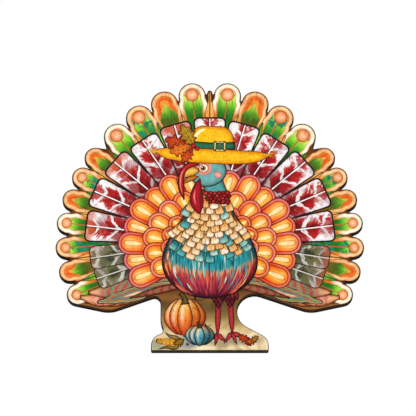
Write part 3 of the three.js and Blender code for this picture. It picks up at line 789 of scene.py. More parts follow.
def under_feather_ink():
    """Bands 17 mm apart across a feather that slant toward its edges, and in the darkest tones bands
    that follow its outline one inside the other. The colours change from feather to feather with the
    tone."""
    band = 17
    material, add = new_ink("under_feather")
    place, x, _, edge, tone = ink_fields(add)
    out = add("Math ABSOLUTE", [x])
    lean = add("Math MULTIPLY_ADD", [edge, -0.9, out])
    blot = add("TexNoise", {"Vector": place, "Scale": 0.06, "Detail": 3.0})
    wave = add("Math MULTIPLY_ADD", [blot, 30.0, lean])
    wave = add("Math COSINE", [add("Math MULTIPLY", [wave, math.tau / band])])
    base = add("ValToRGB", [tone], stops=[(0, "#6f8048"), (0.35, "#8a6a40"), (0.5, "#e39a80"),
                                          (0.62, "#8a5a3c"), (0.8, "#8d9274"), (1, "#e08a3c")])
    stripe = add("ValToRGB", [tone], stops=[(0, "#c23a32"), (0.35, "#2f6a55"), (0.5, "#c04a48"),
                                            (0.62, "#8f2430"), (0.8, "#d0483c"), (1, "#b8501f")])
    far = add("Math MULTIPLY_ADD", [tone, 60.0, out])
    bands = by_edge(add, edge, [(0, INK_LINE), (1.4, "#4a2c1e"), (2.2, "#d9c4a8"), (3.4, "#8c7a62"),
                                (4.2, "#f0e8da"), (9, "#ffffff")])
    depth = add("Math MULTIPLY_ADD", [blot, 0.16, add("Math MULTIPLY", [edge, 1 / EDGE_REACH])])
    depth = add("Math SUBTRACT", [depth, 0.08])
    nested = add("ValToRGB", [depth], span=EDGE_REACH,
                 stops=[(0, INK_LINE), (1.4, "#4a2c1e"), (2.4, "#c9bb92"), (3.6, "#66713c"),
                        (5.6, "#96a35e"), (6.4, "#b5433a"), (7.6, "#d0625a"), (8.4, "#22685f"),
                        (10.4, "#5aa89e"), (11.4, "#a63a30"), (13.4, "#eccb9c")])
    colour = coated(add, base,
                    (add("Math MULTIPLY", [add("MapRange", [wave, 0.3, 0.6], **SMOOTH), 0.85]), stripe),
                    (add("MapRange", [far, 246, 276], **SMOOTH), "#f6b489"), (1.0, bands, GLAZE),
                    (add("MapRange", [tone, 0.25, 0.3, 1.0, 0.0]), nested))
    printed(add, washed(add, place, colour, 0.6))
    return material


def under_feathers():
    """Long feathers under the fan, each along a bent line from the body out to the lowest tips."""
    stamps = []
    for side in (-1, 1):
        for path, widths, lift, tone in UNDER_FEATHERS:
            turned = [(side * x, h) for x, h in path]
            stamps.append(stamp(strip(turned, widths, rows=34, columns=9), lift=lift, tone=tone))
    ink("under_feathers", stamps, under_feather_ink())


def petal_shape(length, half, root, rows=30, columns=13):
    """A rounded petal: its width grows as a sine from a narrow root, and its end is half round."""
    start = length - half

    def half_width(t):
        s = length * t
        rear = root + (half - root) * np.sin(np.clip(s / start, 0, 1) * np.pi / 2)
        tip = np.sqrt(np.clip(half ** 2 - (s - start) ** 2, 0.04, None))
        return np.where(s < start, rear, tip)
    return upright(half_width, 0, length - 0.02, rows, columns)


# Rings of petals: name, count, turn of the last one, reach of the tips across and up, length, half width,
# half width at the root, and layer
PETAL_RINGS = (("outer_petals", 17, 119, 176, 154, 104, 24, 9, 10),
               ("middle_petals", 14, 119, 134, 118, 84, 22, 8, 12),
               ("inner_petals", 12, 117, 98, 84, 60, 18.5, 7, 14))

# How far below the fan's middle the rings have theirs, and the point from which every petal spreads
RINGS_BELOW, AIMED_BELOW = 6, 20

# Colours of the rings: two of the rim, the line inside it, two of the fill, and the heart
PETAL_COLOURS = ((("#c9505a", "#ee948e"), "#b3202a", ("#f28a30", "#fbb860"), "#ffdc88"),
                 (("#d9645c", "#f6a48e"), "#b8241f", ("#f59236", "#fcbf5a"), "#ffdf80"),
                 (("#d05e54", "#f09c86"), "#a92a20", ("#ee8a2a", "#fab848"), "#ffd968"))


def petals():
    """Three rings of petals round the breast, each ring over the one outside it. Their tips lie on
    an ellipse with its own sizes across and up, and every other petal of the outer ring is longer."""
    for ring, colours in zip(PETAL_RINGS, PETAL_COLOURS):
        name, count, spread, across, up, length, half, root, lift = ring
        patch = petal_shape(length, half, root)
        stamps = []
        for index, turn in enumerate(np.linspace(-spread, spread, count)):
            raised = 1 - index % 2 if name == "outer_petals" else 0
            reach = 1 + 0.035 * raised
            tip_x = reach * across * math.sin(math.radians(turn))
            tip_h = reach * up * math.cos(math.radians(turn)) - RINGS_BELOW
            tilt = math.atan2(tip_x, tip_h + AIMED_BELOW)
            stamps.append(stamp(patch, tip_x - length * math.sin(tilt), tip_h - length * math.cos(tilt),
                                math.degrees(tilt), lift=lift - 0.9 * (1 - raised),
                                roll=-0.45 * np.sign(turn)))
        ink(name, stamps, petal_ink(name, length, half, *colours))


outline_and_lower_shade()
tail_feathers()
blades()
wing_feathers()
under_feathers()
petals()


# The bird

# Heights of the body's foot, its widest place and its top
BREAST_LOW, BREAST_WIDE, BREAST_TOP = -119.0, -45.0, 104.0


def breast_half(h):
    """Half width of the body at a height: half an ellipse below its widest place, and a cosine
    slope up to the neck."""
    low = 95 * np.sqrt(np.clip(1 - ((h - BREAST_WIDE) / (BREAST_WIDE - BREAST_LOW)) ** 2, 0.0004, None))
    t = np.clip((h - BREAST_WIDE) / (BREAST_TOP - BREAST_WIDE), 0, 1)
    high = 33 + 62 * (0.5 + 0.5 * np.cos(np.pi * t)) ** 0.92
    return np.where(h < BREAST_WIDE, low, high)


def breast():
    """The round of the body, as wide at each height as breast_half says."""
    span = BREAST_TOP - BREAST_LOW
    patch = upright(lambda t: breast_half(BREAST_LOW + span * t), BREAST_LOW, BREAST_TOP, rows=60,
                    columns=25)
    ink("breast", [stamp(patch, lift=16, tone=0.5)], breast_ink())


def meridian_strokes():
    """Brush strokes on the body, each along a line that keeps its share of the body's half width, so
    they curve round it and draw together below."""
    stamps = []
    for index in range(210):
        share = random.uniform(-0.95, 0.95)
        low = random.uniform(BREAST_LOW + 6, -4)
        high = low + random.uniform(14, 40) * (1 - 0.3 * abs(share))
        heights = np.linspace(low, high, 5)
        path = np.stack([share * breast_half(heights) * 0.97, heights], 1)
        width = random.uniform(1.0, 3.0)
        band = (low - BREAST_LOW) / (0 - BREAST_LOW) + random.uniform(-0.1, 0.1) + 0.12 * abs(share)
        if band < 0.27:
            tone = random.choice([0.0, 0.1, 0.15, 0.22, 0.3, 0.3])
        elif abs(share) > 0.84:
            tone = random.choice([0.22, 0.4, 0.4, 0.48])
        else:
            tone = random.choice([0.62, 0.72, 0.8, 0.9, 1.0, 0.95])
        stamps.append(stamp(strip(path, [0.3, width, width, 0.3], rows=6, columns=3),
                            lift=17 + 0.004 * index, tone=tone))
    stroke_ink = wash_ink("brush_stroke", [(0, "#6d1d3f"), (0.15, "#b3353f"), (0.3, "#e2684a"),
                                           (0.42, "#f0a04b"), (0.55, "#ffe9c0"), (0.68, "#7fd0cd"),
                                           (0.82, "#1c8f9c"), (1, "#123c57")],
                          [(0, "#e8dcd6"), (1, "#ffffff")], 0.2)
    ink("breast_strokes", stamps, stroke_ink)


def scale_ink():
    """Short breast feathers: gold at the root, cream at the tip, with fine barbs; some are blue."""
    material, add = new_ink("breast_scale")
    place, _, s, edge, tone = ink_fields(add)
    root = add("ValToRGB", [tone], stops=[(0, "#d98a2a"), (0.35, "#e8a342"), (0.74, "#e9b25c"),
                                          (0.8, "#2b8f98"), (1, "#17697c")])
    end = add("ValToRGB", [tone], stops=[(0, "#f8c17a"), (0.25, "#fddca4"), (0.5, "#fff0d0"),
                                         (0.74, "#fffaf0"), (0.8, "#bfe6d8"), (1, "#3fb2b8")])
    fine = fibres(add, place, 0.9, 0.06, 2.0)
    lines = add("ValToRGB", [fine], stops=[(0.38, "#a06c3a"), (0.47, "#ffffff")])
    bands = by_edge(add, edge, [(0, "#1e0e0a"), (0.8, "#3a2016"), (1.5, "#dcbf9c"), (2.6, "#faf0e0"),
                                (4, "#ffffff")])
    colour = coated(add, root, (add("MapRange", [s, 5, 19], **SMOOTH), end), (0.8, lines, GLAZE),
                    (1.0, bands, GLAZE))
    printed(add, washed(add, place, colour, 0.35, 0.15))
    return material


# Share of blue feathers in the lowest row, the one over it and the others
BLUE_SHARES = (0.8, 0.45, 0.06)


def breast_scales():
    """Rows of short squared feathers, hung like garlands: each row's line is a low parabola, and each
    row lies over the one below it. Every other row is set half a pitch aside."""
    patch = squared(9.4, 8.0, 22, 4.2, 11, 7)
    rows, lowest, rise = 10, -37, 12.2
    bow, pitch = 0.0052, 16.2
    stamps = []
    for row in range(rows):
        level = lowest + rise * row
        count = int(breast_half(np.array([level + 8.0]))[0] / pitch) + 1
        places = (np.arange(-count, count + 1) + 0.5 * (row % 2)) * pitch
        for index, x in enumerate(places):
            x += random.uniform(-1.4, 1.4)
            h = level + bow * x * x + random.uniform(-1.2, 1.2)
            if abs(x) > breast_half(np.array([h + 4.0]))[0] - 7:
                continue
            if row < 2 and random.random() < 0.35:
                continue
            slope = math.degrees(math.atan(2.4 * bow * x)) + random.uniform(-3, 3)
            tone = random.uniform(0, 0.74)
            if random.random() < BLUE_SHARES[min(row, 2)]:
                tone = random.uniform(0.8, 1.0)
            stamps.append(stamp(patch, x, h + 13, 180 - slope, random.uniform(0.92, 1.08),
                                lift=18 + 0.5 * row + 0.1 * (index % 3), tone=tone))
    ink("breast_scales", stamps, scale_ink())


def oval(half_x, half_h, rows=18, columns=11):
    """A filled ellipse about its own middle."""
    return upright(lambda t: 2 * half_x * np.sqrt(t * (1 - t)), -half_h, half_h, rows, columns)


# Edges of washes: a dark line, and one with painted shade inside it where the form turns softly away
DARK_LINE = [(0, "#170b0a"), (1.1, "#2e1a16"), (1.8, "#ffffff")]
SOFT_FORM_SHADE = [(0, "#170b0a"), (1.1, "#2e1a16"), (1.8, "#b09289"), (6, "#eadfd8"), (11, "#ffffff")]


def head():
    """The head in profile: ovals for the face, the cheeks, the eye and the warts of the neck, and strips
    along bent lines, whose widths swell and fade, for the neck, beak, wattle and snood."""
    skin = wash_ink("head_skin", [(0, "#2f7f8c"), (0.5, "#57a9ae"), (1, "#9fd3cf")], SOFT_FORM_SHADE, 0.7, 0.12)
    red = wash_ink("wattle", [(0, "#7a0f1e"), (0.4, "#b5182a"), (0.8, "#dc3b3a"), (1, "#ef7a66")],
                   [(0, "#2a0a10"), (1.1, "#50101a"), (1.8, "#b06a6c"), (5, "#f0dede"), (8, "#ffffff")],
                   0.8, 0.14)
    neck = strip([(12, 50), (15, 84), (8, 112), (0, 140)], [74, 50, 42, 46], rows=22, columns=11)
    ink("neck", [stamp(neck, lift=17.7, tone=0.45)], skin)
    bumps = []
    for index in range(24):
        row = index // 6
        x = 14 + (index % 6 - 2.5 + 0.5 * (row % 2)) * (8.4 - 0.5 * row) + random.uniform(-1, 1)
        bumps.append(stamp(oval(6.0, 5.2, 8, 7), x, 96 - 6.0 * row + random.uniform(-1, 1), 0,
                           random.uniform(0.8, 1.15), lift=23.1 + 0.02 * index,
                           tone=random.uniform(0.45, 1)))
    ink("neck_caruncles", bumps, red)
    ink("face", [stamp(oval(37, 30), -3, 139, -14, lift=24.2, tone=0.62)], skin)
    blush = wash_ink("cheek", [(0, "#e58f84"), (1, "#f6c4b4")],
                     [(0, "#c77c74"), (1.2, "#ecc0b6"), (4, "#ffffff")], 0.5, 0.2)
    ink("cheeks",
        [stamp(oval(16, 13.5), -12, 147, -10, lift=24.5, tone=0.8),
         stamp(oval(11.5, 10), -12, 147, -10, lift=24.55, tone=0.2),
         stamp(oval(8, 6.5), 16, 134, 20, lift=24.5, tone=0.6)], blush)
    beak_upper = strip([(-21, 143), (-40, 140), (-58, 130), (-65, 114)], [7, 20, 19, 16, 10, 0.4], 24, 7)
    beak_lower = strip([(-22, 130), (-41, 125), (-55, 115)], [3, 10, 11, 8, 0.4], 18, 7)
    horn = wash_ink("beak", [(0, "#e2902a"), (1, "#ffd25e")], SOFT_FORM_SHADE, 0.4, 0.2)
    ink("beak", [stamp(beak_lower, lift=24.6, tone=0.1), stamp(beak_upper, lift=24.8, tone=0.85)], horn)
    wattle = strip([(-19, 127), (-25, 106), (-26, 80), (-20, 53)], [2, 13, 21, 27, 24, 3], 28, 9)
    snood = strip([(-20, 155), (-42, 153), (-55, 137), (-57, 110), (-51, 82)], [3, 12, 12, 13, 12, 2], 32,
                  7)
    wattle_gleam = strip([(-29, 104), (-31, 88), (-28, 72)], [0.6, 4.2, 0.6], 12, 5)
    snood_gleam = strip([(-50, 147), (-57, 133), (-58.5, 112), (-54, 94)], [0.6, 3.0, 2.6, 0.5], 14, 5)
    # The fold strip is painted shade in the wattle's crease, and the gleams are painted highlights
    wattle_fold_shade = strip([(-18, 108), (-18, 84), (-19, 64)], [0.6, 6, 0.6], 12, 5)
    ink("wattle", [stamp(wattle, lift=24.4, tone=0.35), stamp(snood, lift=25.2, tone=0.55)], red)
    ink("wattle_gleams",
        [stamp(wattle_fold_shade, lift=24.7, tone=0.0), stamp(wattle_gleam, lift=24.7, tone=0.9),
         stamp(snood_gleam, lift=25.5, tone=1.0)],
        wash_ink("wattle_gleam", [(0, "#7e1020"), (0.5, "#c9303a"), (1, "#f08a78")],
                 [(0, "#f0c4c0"), (1.2, "#ffffff")], 0.6, 0.2))
    eye_ink = wash_ink("eye", [(0, "#1c1210"), (0.4, "#c97a1e"), (0.6, "#e0a23a"), (0.8, "#fff8ea"),
                               (1, "#ffffff")], [(0, "#3a1c16"), (0.9, "#ffffff")], 0.1)
    # The eye's last and smallest oval, white and set up to the left, is a painted highlight
    ink("eye",
        [stamp(oval(8.4, 7.6, 12, 9), -12.5, 147.5, lift=25.0, tone=0.8),
         stamp(oval(5.8, 5.8, 12, 9), -13.2, 147.5, lift=25.3, tone=0.42),
         stamp(oval(3.6, 3.6, 10, 7), -13.8, 147.5, lift=25.6, tone=0.0),
         stamp(oval(1.5, 1.5, 8, 5), -15.2, 149.4, lift=25.9, tone=1.0)], eye_ink)


def brim_line(at):
    """Middle line of the brim, at places from -1 at its left end to 1 at its right one: a slope that
    turns up at both ends with the fourth power of the place."""
    return 4 + 119 * at, 172 + 9 * at ** 4 - 5 * at


# Bars of the buckle about its middle: x, h, half width and half height
BUCKLE_BARS = ((0, 8.4, 11.5, 2.4), (0, -8.4, 11.5, 2.4), (-9.6, 0, 2.5, 9), (9.6, 0, 2.5, 9),
               (0, 0, 1.7, 8))


def hat():
    """A straw hat: a tapered crown with round corners, a brim whose width fades to both ends along its
    curved middle line, loose ends of straw, a band with a buckle, and a sprig of oak and berries."""
    straw = straw_ink()
    crown = squared(38, 50, 58, 20, 30, 13)
    along = np.linspace(-1, 1, 11)
    brim = strip(np.stack(brim_line(along), 1), 31 * (1 - np.abs(along) ** 3) ** 0.6 + 0.4, 54, 11)
    ink("hat_straw", [stamp(crown, 3, 177, 3, lift=26, tone=0.4), stamp(brim, lift=27.2, tone=0.6)],
        straw)
    ends = []
    for index in range(22):
        side = -1 if index % 2 else 1
        x, h = brim_line(random.uniform(0.9, 1.0) * side)
        h += random.uniform(-3, 3)
        reach = random.uniform(5, 13)
        end = (x + side * reach, h + random.uniform(-7, 6))
        ends.append(stamp(strip([(x - side * 9, h), (x, h), end], [1.6, 1.9, 0.4], rows=6, columns=3),
                          lift=27.4 + 0.02 * index, tone=random.random()))
    ink("hat_straw_ends", ends, wash_ink("straw_end", [(0, "#a8700f"), (0.4, "#e0a21a"), (1, "#ffdc50")],
                                         [(0, "#d9a85a"), (1, "#ffffff")], 0.2))
    gleam = wash_ink("hat_gleam", [(0, "#fff2b0"), (1, "#fffbe4")], [(0, "#ffe680"), (2, "#ffffff")], 0.2)
    ink("hat_gleam", [stamp(strip([(-29, 205), (-27, 216), (-18, 225), (-8, 229)], [2, 6, 6, 1], 14, 5),
                            lift=26.3, tone=0.6)], gleam)
    band = strip([(-45.5, 197), (2, 192.5), (50.5, 194)], [16, 17, 16], 18, 7)
    cloth = wash_ink("hat_band", [(0, "#1f6a50"), (1, "#46a07a")], SOFT_FORM_SHADE, 0.7, 0.2)
    gold = wash_ink("buckle", [(0, "#d99a1a"), (1, "#fff0a0")], DARK_LINE, 0.5, 0.3)
    ink("hat_band", [stamp(band, lift=26.6, tone=0.3)], cloth)
    sides = []
    for side, (x, h, half_x, half_h) in enumerate(BUCKLE_BARS):
        bar = upright(lambda t: half_x + 0 * t, -half_h, half_h, 5, 5)
        sides.append(stamp(bar, x + 20, h + 193, 2, lift=27.8 + 0.1 * side, tone=0.7))
    ink("hat_buckle", sides, gold)
    oak_leaves("hat_oak_leaves", [(-38, 186, -66, 1.0, 0.15), (-34, 192, -104, 0.85, 0.5),
                                  (-32, 194, -30, 0.9, 0.8), (-34, 186, -140, 0.62, 0.3)], 28.2)
    berries("hat_berries", [(-33, 194, 5.4), (-25, 188, 4.8), (-38, 184, 5.0)], 29.2)


def oak_leaf():
    """An oak leaf: a long oval whose half width swells and sinks in four waves."""
    def half_width(t):
        return 1.0 + 15 * np.sin(np.pi * t) ** 0.75 * (1 + 0.34 * np.cos(8 * np.pi * t + 0.6))
    return upright(half_width, 0, 56, rows=40, columns=9)


def oak_leaves(name, places, lift):
    """Oak leaves at places (x, h, turn, size, tone), with their ribs as fine strokes."""
    leaf = wash_ink(name,
                    [(0, "#a9301c"), (0.25, "#d9561f"), (0.5, "#ef8a2a"), (0.75, "#c9a227"),
                     (1, "#6f8f2e")],
                    [(0, "#3a1410"), (1.0, "#5c2a1a"), (1.8, "#d9a887"), (5, "#fbe6cf"), (9, "#ffffff")],
                    0.8, 0.12)
    vein = wash_ink(name + "_vein", [(0, "#5c2412"), (1, "#5c2412")], [(0, "#ffffff"), (1, "#ffffff")],
                    0.1)
    patch = oak_leaf()
    ribs = [strip([(0, 1), (0, 50)], [1.8, 0.6], 6, 3)]
    ribs += [strip([(0, t), (out, t + 8)], [1.0, 0.4], 5, 3) for t in (12, 22, 32) for out in (9, -9)]
    leaves, strokes = [], []
    for index, (x, h, turn, size, tone) in enumerate(places):
        leaves.append(stamp(patch, x, h, turn, size, lift=lift + 0.3 * index, tone=tone))
        strokes += [stamp(rib, x, h, turn, size, lift=lift + 0.3 * index + 0.12) for rib in ribs]
    ink(name, leaves, leaf)
    ink(name + "_ribs", strokes, vein)


def berries(name, places, lift):
    """Round red berries at places (x, h, radius), each with a small gleam."""
    red = wash_ink(name, [(0, "#8c1420"), (0.6, "#c9262c"), (0.8, "#ffd9cc"), (1, "#ffffff")],
                   [(0, "#3a0c10"), (0.9, "#6d1a1e"), (1.5, "#f0c8c4"), (3, "#ffffff")], 0.3, 0.3)
    stamps = []
    for index, (x, h, radius) in enumerate(places):
        stamps.append(stamp(oval(radius, radius, 10, 9), x, h, lift=lift + 0.2 * index, tone=0.45))
        stamps.append(stamp(oval(radius * 0.25, radius * 0.2, 6, 5), x - radius * 0.35, h + radius * 0.35,
                            lift=lift + 0.2 * index + 0.1, tone=1.0))
    ink(name, stamps, red)


# Legs: x of the top, x and h of the foot, and how far each toe reaches out and down
LEGS = ((17, 15, -195, [(-19, -9), (-4, -15), (15, -9)]),
        (40, 44, -192, [(-13, -13), (7, -15), (29, -6)]))


def leg_ink():
    """Scaly skin: crimson with darker rings 5 mm apart."""
    ring_pitch = 5.0
    material, add = new_ink("leg")
    place, _, s, edge, tone = ink_fields(add)
    ring = add("Math COSINE", [add("Math MULTIPLY", [s, math.tau / ring_pitch])])
    colour = add("ValToRGB", [tone], stops=[(0, "#8c1c2c"), (0.5, "#b92f3c"), (1, "#d9545a")])
    edges = by_edge(add, edge,
                    [(0, "#2a0a10"), (1.0, "#50101a"), (1.7, "#d9a0a0"), (4, "#fbecec"), (6, "#ffffff")])
    colour = coated(add, colour,
                    (add("Math MULTIPLY", [add("MapRange", [ring, 0.5, 0.95], **SMOOTH), 0.6]),
                     "#6d101e"), (1.0, edges, GLAZE))
    printed(add, washed(add, place, colour, 0.5, 0.15))
    return material


def legs():
    """Two legs, each with three long toes and dark claws, all strips along bent lines, out of a tuft of
    feathers in four rows of one to four."""
    tuft = upright(lambda t: 0.4 + 4.6 * np.sin(np.pi * t ** 0.75), 0, 21, rows=12, columns=5)
    stamps, claws, thigh = [], [], []
    for side, (top_x, foot_x, foot_h, toes) in enumerate(LEGS):
        shin = strip([(top_x, -112), (top_x, -128), ((top_x + foot_x) / 2, -152), (foot_x, foot_h + 3)],
                     [26, 18, 12, 11, 11, 4], 30, 9)
        stamps.append(stamp(shin, lift=15 + 0.3 * side, tone=0.55))
        for number, (out, drop) in enumerate(toes):
            toe = strip([(foot_x, foot_h + 5), (foot_x + 0.5 * out, foot_h + 0.3 * drop),
                         (foot_x + out, foot_h + drop)], [3, 10, 8.5, 6.5, 4.5], 16, 7)
            stamps.append(stamp(toe, lift=15.4 + 0.3 * side + 0.1 * number, tone=0.7))
            claw = strip([(foot_x + 0.95 * out, foot_h + 0.9 * drop),
                          (foot_x + 1.15 * out, foot_h + 1.05 * drop - 1),
                          (foot_x + 1.25 * out, foot_h + 1.15 * drop - 3)], [4.5, 3, 0.3], 7, 5)
            claws.append(stamp(claw, lift=16 + 0.1 * number + 0.3 * side, tone=0.5))
        for row in range(4):
            for place_in_row in range(row + 1):
                share = place_in_row - row / 2
                thigh.append(stamp(tuft, top_x + 6.6 * share, -121 + 6.5 * row, 180 - 9 * share,
                                   random.uniform(0.85, 1.05),
                                   lift=15.5 + 0.12 * row + 0.03 * place_in_row, tone=random.random()))
    ink("legs", stamps, leg_ink())
    maroon = wash_ink("thigh_feather",
                      [(0, "#5e1634"), (0.4, "#98203a"), (0.7, "#c03a3e"), (1, "#7a3358")],
                      SOFT_FORM_SHADE, 0.6, 0.2)
    ink("thigh_feathers", thigh, maroon)
    dark = wash_ink("claw", [(0, "#3a2a26"), (1, "#6b564c")], [(0, "#8c7a74"), (1.5, "#ffffff")], 0.2)
    ink("claws", claws, dark)


def pumpkin(name, x, h, half_x, half_h, lift, rib_material, stem_material, lean=0):
    """Ribs lie over each other with the middle one on top. Each is a full oval whose middle line bows
    out by its place, so its ends draw in toward the stalk and the foot. A bent stalk stands in the
    dip, with a curl of tendril."""
    stamps = []
    for order, share in enumerate([-0.74, 0.74, -0.42, 0.42, 0.0]):
        turned = math.sqrt(1 - 0.7 * share ** 2)
        tall = half_h * (0.8 + 0.2 * turned)
        rib = upright(lambda t: half_x * 0.34 * turned * np.sin(np.pi * t) ** 0.6, -tall, tall, 24, 11,
                      lean=lambda t: share * half_x * (0.42 + 0.47 * np.sin(np.pi * t) ** 0.8))
        away = 0.35 + 0.7 * share if share > 0 else 0.25 * abs(share)
        stamps.append(stamp(rib, x, h + (0.06 * half_h if share else -0.02 * half_h), lean,
                            lift=lift + 0.3 * order, tone=away))
    ink(name, stamps, rib_material)
    top = h + half_h * 0.86
    size = half_h / 34
    stalk = strip([(x + 1, top - 5 * size), (x - 1 * size, top + 7 * size),
                   (x - 8 * size, top + 16 * size)], [16 * size, 8 * size, 10 * size], 12, 7)
    curl_turn = np.linspace(0, 1.9 * np.pi, 9)
    curl = np.stack([x + (12 + 7 * curl_turn / 2) * size + 5 * size * np.cos(curl_turn),
                     top + (3 + curl_turn) * size + 5 * size * np.sin(curl_turn)], 1)
    ink(name + "_stalk", [stamp(stalk, lift=lift + 2.2, tone=0.4),
                          stamp(strip(curl, [2.2, 1.6, 0.6], 22, 3), lift=lift + 2.0, tone=0.8)],
        stem_material)


def maize(name, x, h, turn, size, lift):
    """An ear of maize: a tapered bed with rows of kernels across its round, their pitch drawn in toward
    the sides by the cosine of their place, and three husks that open at its foot."""
    bed = upright(lambda t: 8.6 * np.clip(1 - (0.9 * t) ** 3, 0, 1) ** 0.6, 0, 58, rows=20, columns=7)
    kernel = oval(2.1, 1.9, 6, 5)
    sin, cos = math.sin(math.radians(turn)), math.cos(math.radians(turn))
    grains = []
    for row in range(17):
        along = 4 + 3.1 * row
        half = 8.0 * (1 - (0.9 * along / 58) ** 3) ** 0.6
        for column in range(-3, 4):
            place_across = column + 0.5 * (row % 2)
            if abs(place_across) > 3:
                continue
            out = half * math.sin(place_across * math.pi / 7.4)
            grains.append(stamp(kernel, x + size * (out * cos + along * sin),
                                h + size * (along * cos - out * sin), turn,
                                size * (1.12 - 0.1 * abs(place_across)),
                                lift=lift + 0.3 + 0.03 * (3 - abs(place_across)), tone=random.random()))
    ink(name + "_bed", [stamp(bed, x, h, turn, size, lift=lift, tone=0.2)],
        wash_ink(name + "_bed", [(0, "#8a4a10"), (1, "#c07a1c")], SOFT_FORM_SHADE, 0.4, 0.2))
    ink(name + "_kernels", grains,
        wash_ink(name + "_kernel",
                 [(0, "#f0a41c"), (0.4, "#fcc42c"), (0.75, "#ffe066"), (0.92, "#c2521e"), (1, "#fff4b8")],
                 [(0, "#9a5a1c"), (0.5, "#e8c078"), (0.9, "#ffffff")], 0.3, 0.3))
    husks = [strip([(-2, 2), (-11, 14), (-13, 34), (-19, 50)], [6, 11, 7, 0.5], 18, 7),
             strip([(2, 2), (11, 12), (14, 28), (22, 40)], [6, 10, 7, 0.5], 18, 7),
             strip([(0, -4), (1, 6), (-1, 20)], [9, 13, 0.6], 14, 7)]
    ink(name + "_husks", [stamp(husk, x, h, turn, size, lift=lift + 0.1 + 0.35 * index,
                                tone=0.3 + 0.3 * index) for index, husk in enumerate(husks)],
        wash_ink(name + "_husk", [(0, "#7f8f3a"), (0.5, "#b9ad5a"), (1, "#e6d79a")], SOFT_FORM_SHADE, 0.6, 0.2))


def harvest():
    """The pumpkin, squash, maize, leaves and berries on the stand."""
    orange = rib_ink("orange_pumpkin", "#fba83a", "#f5892a", "#d24e1a", "#ffd06a", "#b23a14")
    teal = rib_ink("blue_pumpkin", "#a6d8cc", "#45a3b4", "#1a5f86", "#f6b254", "#14567e")
    stem = wash_ink("stalk", [(0, "#4a4a22"), (0.5, "#7c7a34"), (1, "#6d8a3a")], SOFT_FORM_SHADE, 0.6, 0.2)
    pumpkin("orange_pumpkin", -49, -158, 45, 38, 17.5, orange, stem)
    pumpkin("blue_squash", -20, -194, 32, 21, 21.5, teal, stem)
    maize("maize", -56, -209, -84, 0.86, 21.8)
    oak_leaves("stand_oak_leaves", [(-50, -201, -118, 0.42, 0.85), (78, -206, -60, 0.46, 0.2),
                                    (68, -209, 78, 0.42, 0.5), (80, -207, 50, 0.36, 0.75)], 23.6)
    berries("stand_berries", [(74, -210, 3.2), (79, -212, 2.8), (-44, -211, 2.8)], 25.2)


breast()
meridian_strokes()
breast_scales()
head()
hat()
legs()
harvest()


# Camera, light and floor

# The photo's width in pixels, the size of a pixel in mm, the camera's angle over the hanger in degrees,
# and the place in the picture that it aims at
PHOTO_WIDTH = 416
PIXEL_SIZE = 1.982
CAMERA_RISE = -15
AIM_X, AIM_H = -3.6, 65.7


def look():
    """A long lens a little below the hanger, so that the board's lower edges show."""
    camera = bpy.data.cameras.new("camera")
    camera.lens = 300
    camera.sensor_width = 36
    camera.clip_start = 0.1
    camera.clip_end = 50
    holder = bpy.data.objects.new("camera", camera)
    bpy.context.scene.collection.objects.link(holder)
    elevation = math.radians(CAMERA_RISE)
    width_seen = PHOTO_WIDTH * PIXEL_SIZE * MM
    distance = width_seen * camera.lens / camera.sensor_width
    aim = np.array([AIM_X * MM, SHEET_FRONT, FAN_MIDDLE + AIM_H * MM])
    away = np.array([0, -math.cos(elevation), math.sin(elevation)])
    holder.location = aim + distance * away
    holder.rotation_euler = (math.pi / 2 + abs(elevation), 0, 0)
    bpy.context.scene.camera = holder


def light(name, place, size, power):
    """A soft square lamp that faces the middle of the hanger."""
    lamp = bpy.data.lights.new(name, "AREA")
    lamp.size = size
    lamp.energy = power
    holder = bpy.data.objects.new(name, lamp)
    bpy.context.scene.collection.objects.link(holder)
    aim = np.array([0, 0, FAN_MIDDLE]) - np.array(place)
    holder.location = place
    holder.rotation_euler = (math.atan2(math.hypot(aim[0], aim[1]), -aim[2]), 0,
                             math.atan2(-aim[0], aim[1]))


def surroundings():
    """Plain white seen by the camera and in gloss, a weaker even light, and a pale floor."""
    world = bpy.data.worlds.new("surroundings")
    bpy.context.scene.world = world
    world.use_nodes = True
    world.node_tree.nodes.clear()
    add = partial(add_node, world.node_tree)
    path = add("LightPath").node
    seen = add("Math MAXIMUM", [path.outputs["Is Camera Ray"], path.outputs["Is Glossy Ray"]])
    seen = add("Math MAXIMUM", [seen, path.outputs["Is Transmission Ray"]])
    even_light = 0.55
    strength = add("MapRange", [seen, 0.0, 1.0, even_light, 1.0])
    add("OutputWorld", [add("Background", ["#ffffff", strength])])
    floor_mesh = bpy.data.meshes.new("floor")
    reach, depth = 40.0, FAN_MIDDLE - 2.4
    floor_mesh.from_pydata([(-reach, -reach, depth), (reach, -reach, depth), (reach, reach, depth),
                            (-reach, reach, depth)], [], [(0, 1, 2, 3)])
    floor = bpy.data.objects.new("floor", floor_mesh)
    bpy.context.scene.collection.objects.link(floor)
    material, add = new_material("pale_floor")
    seen = add("LightPath").node.outputs["Is Camera Ray"]
    share_seen = 0.4
    glow = add("Math MULTIPLY", [seen, share_seen])
    surface = add("BsdfPrincipled", {"Base Color": "#efeeec", "Roughness": 0.8,
                                     "Emission Color": "#ffffff", "Emission Strength": glow})
    add("OutputMaterial", [surface])
    floor_mesh.materials.append(material)


# Board and fittings

def in_mm(add, stretch=(1, 1, 1)):
    """Object coordinates in millimetres, drawn out along an axis by a smaller share."""
    coordinates = add("TexCoord").node.outputs["Object"]
    return add("VectorMath MULTIPLY", [coordinates, [value / MM for value in stretch]])


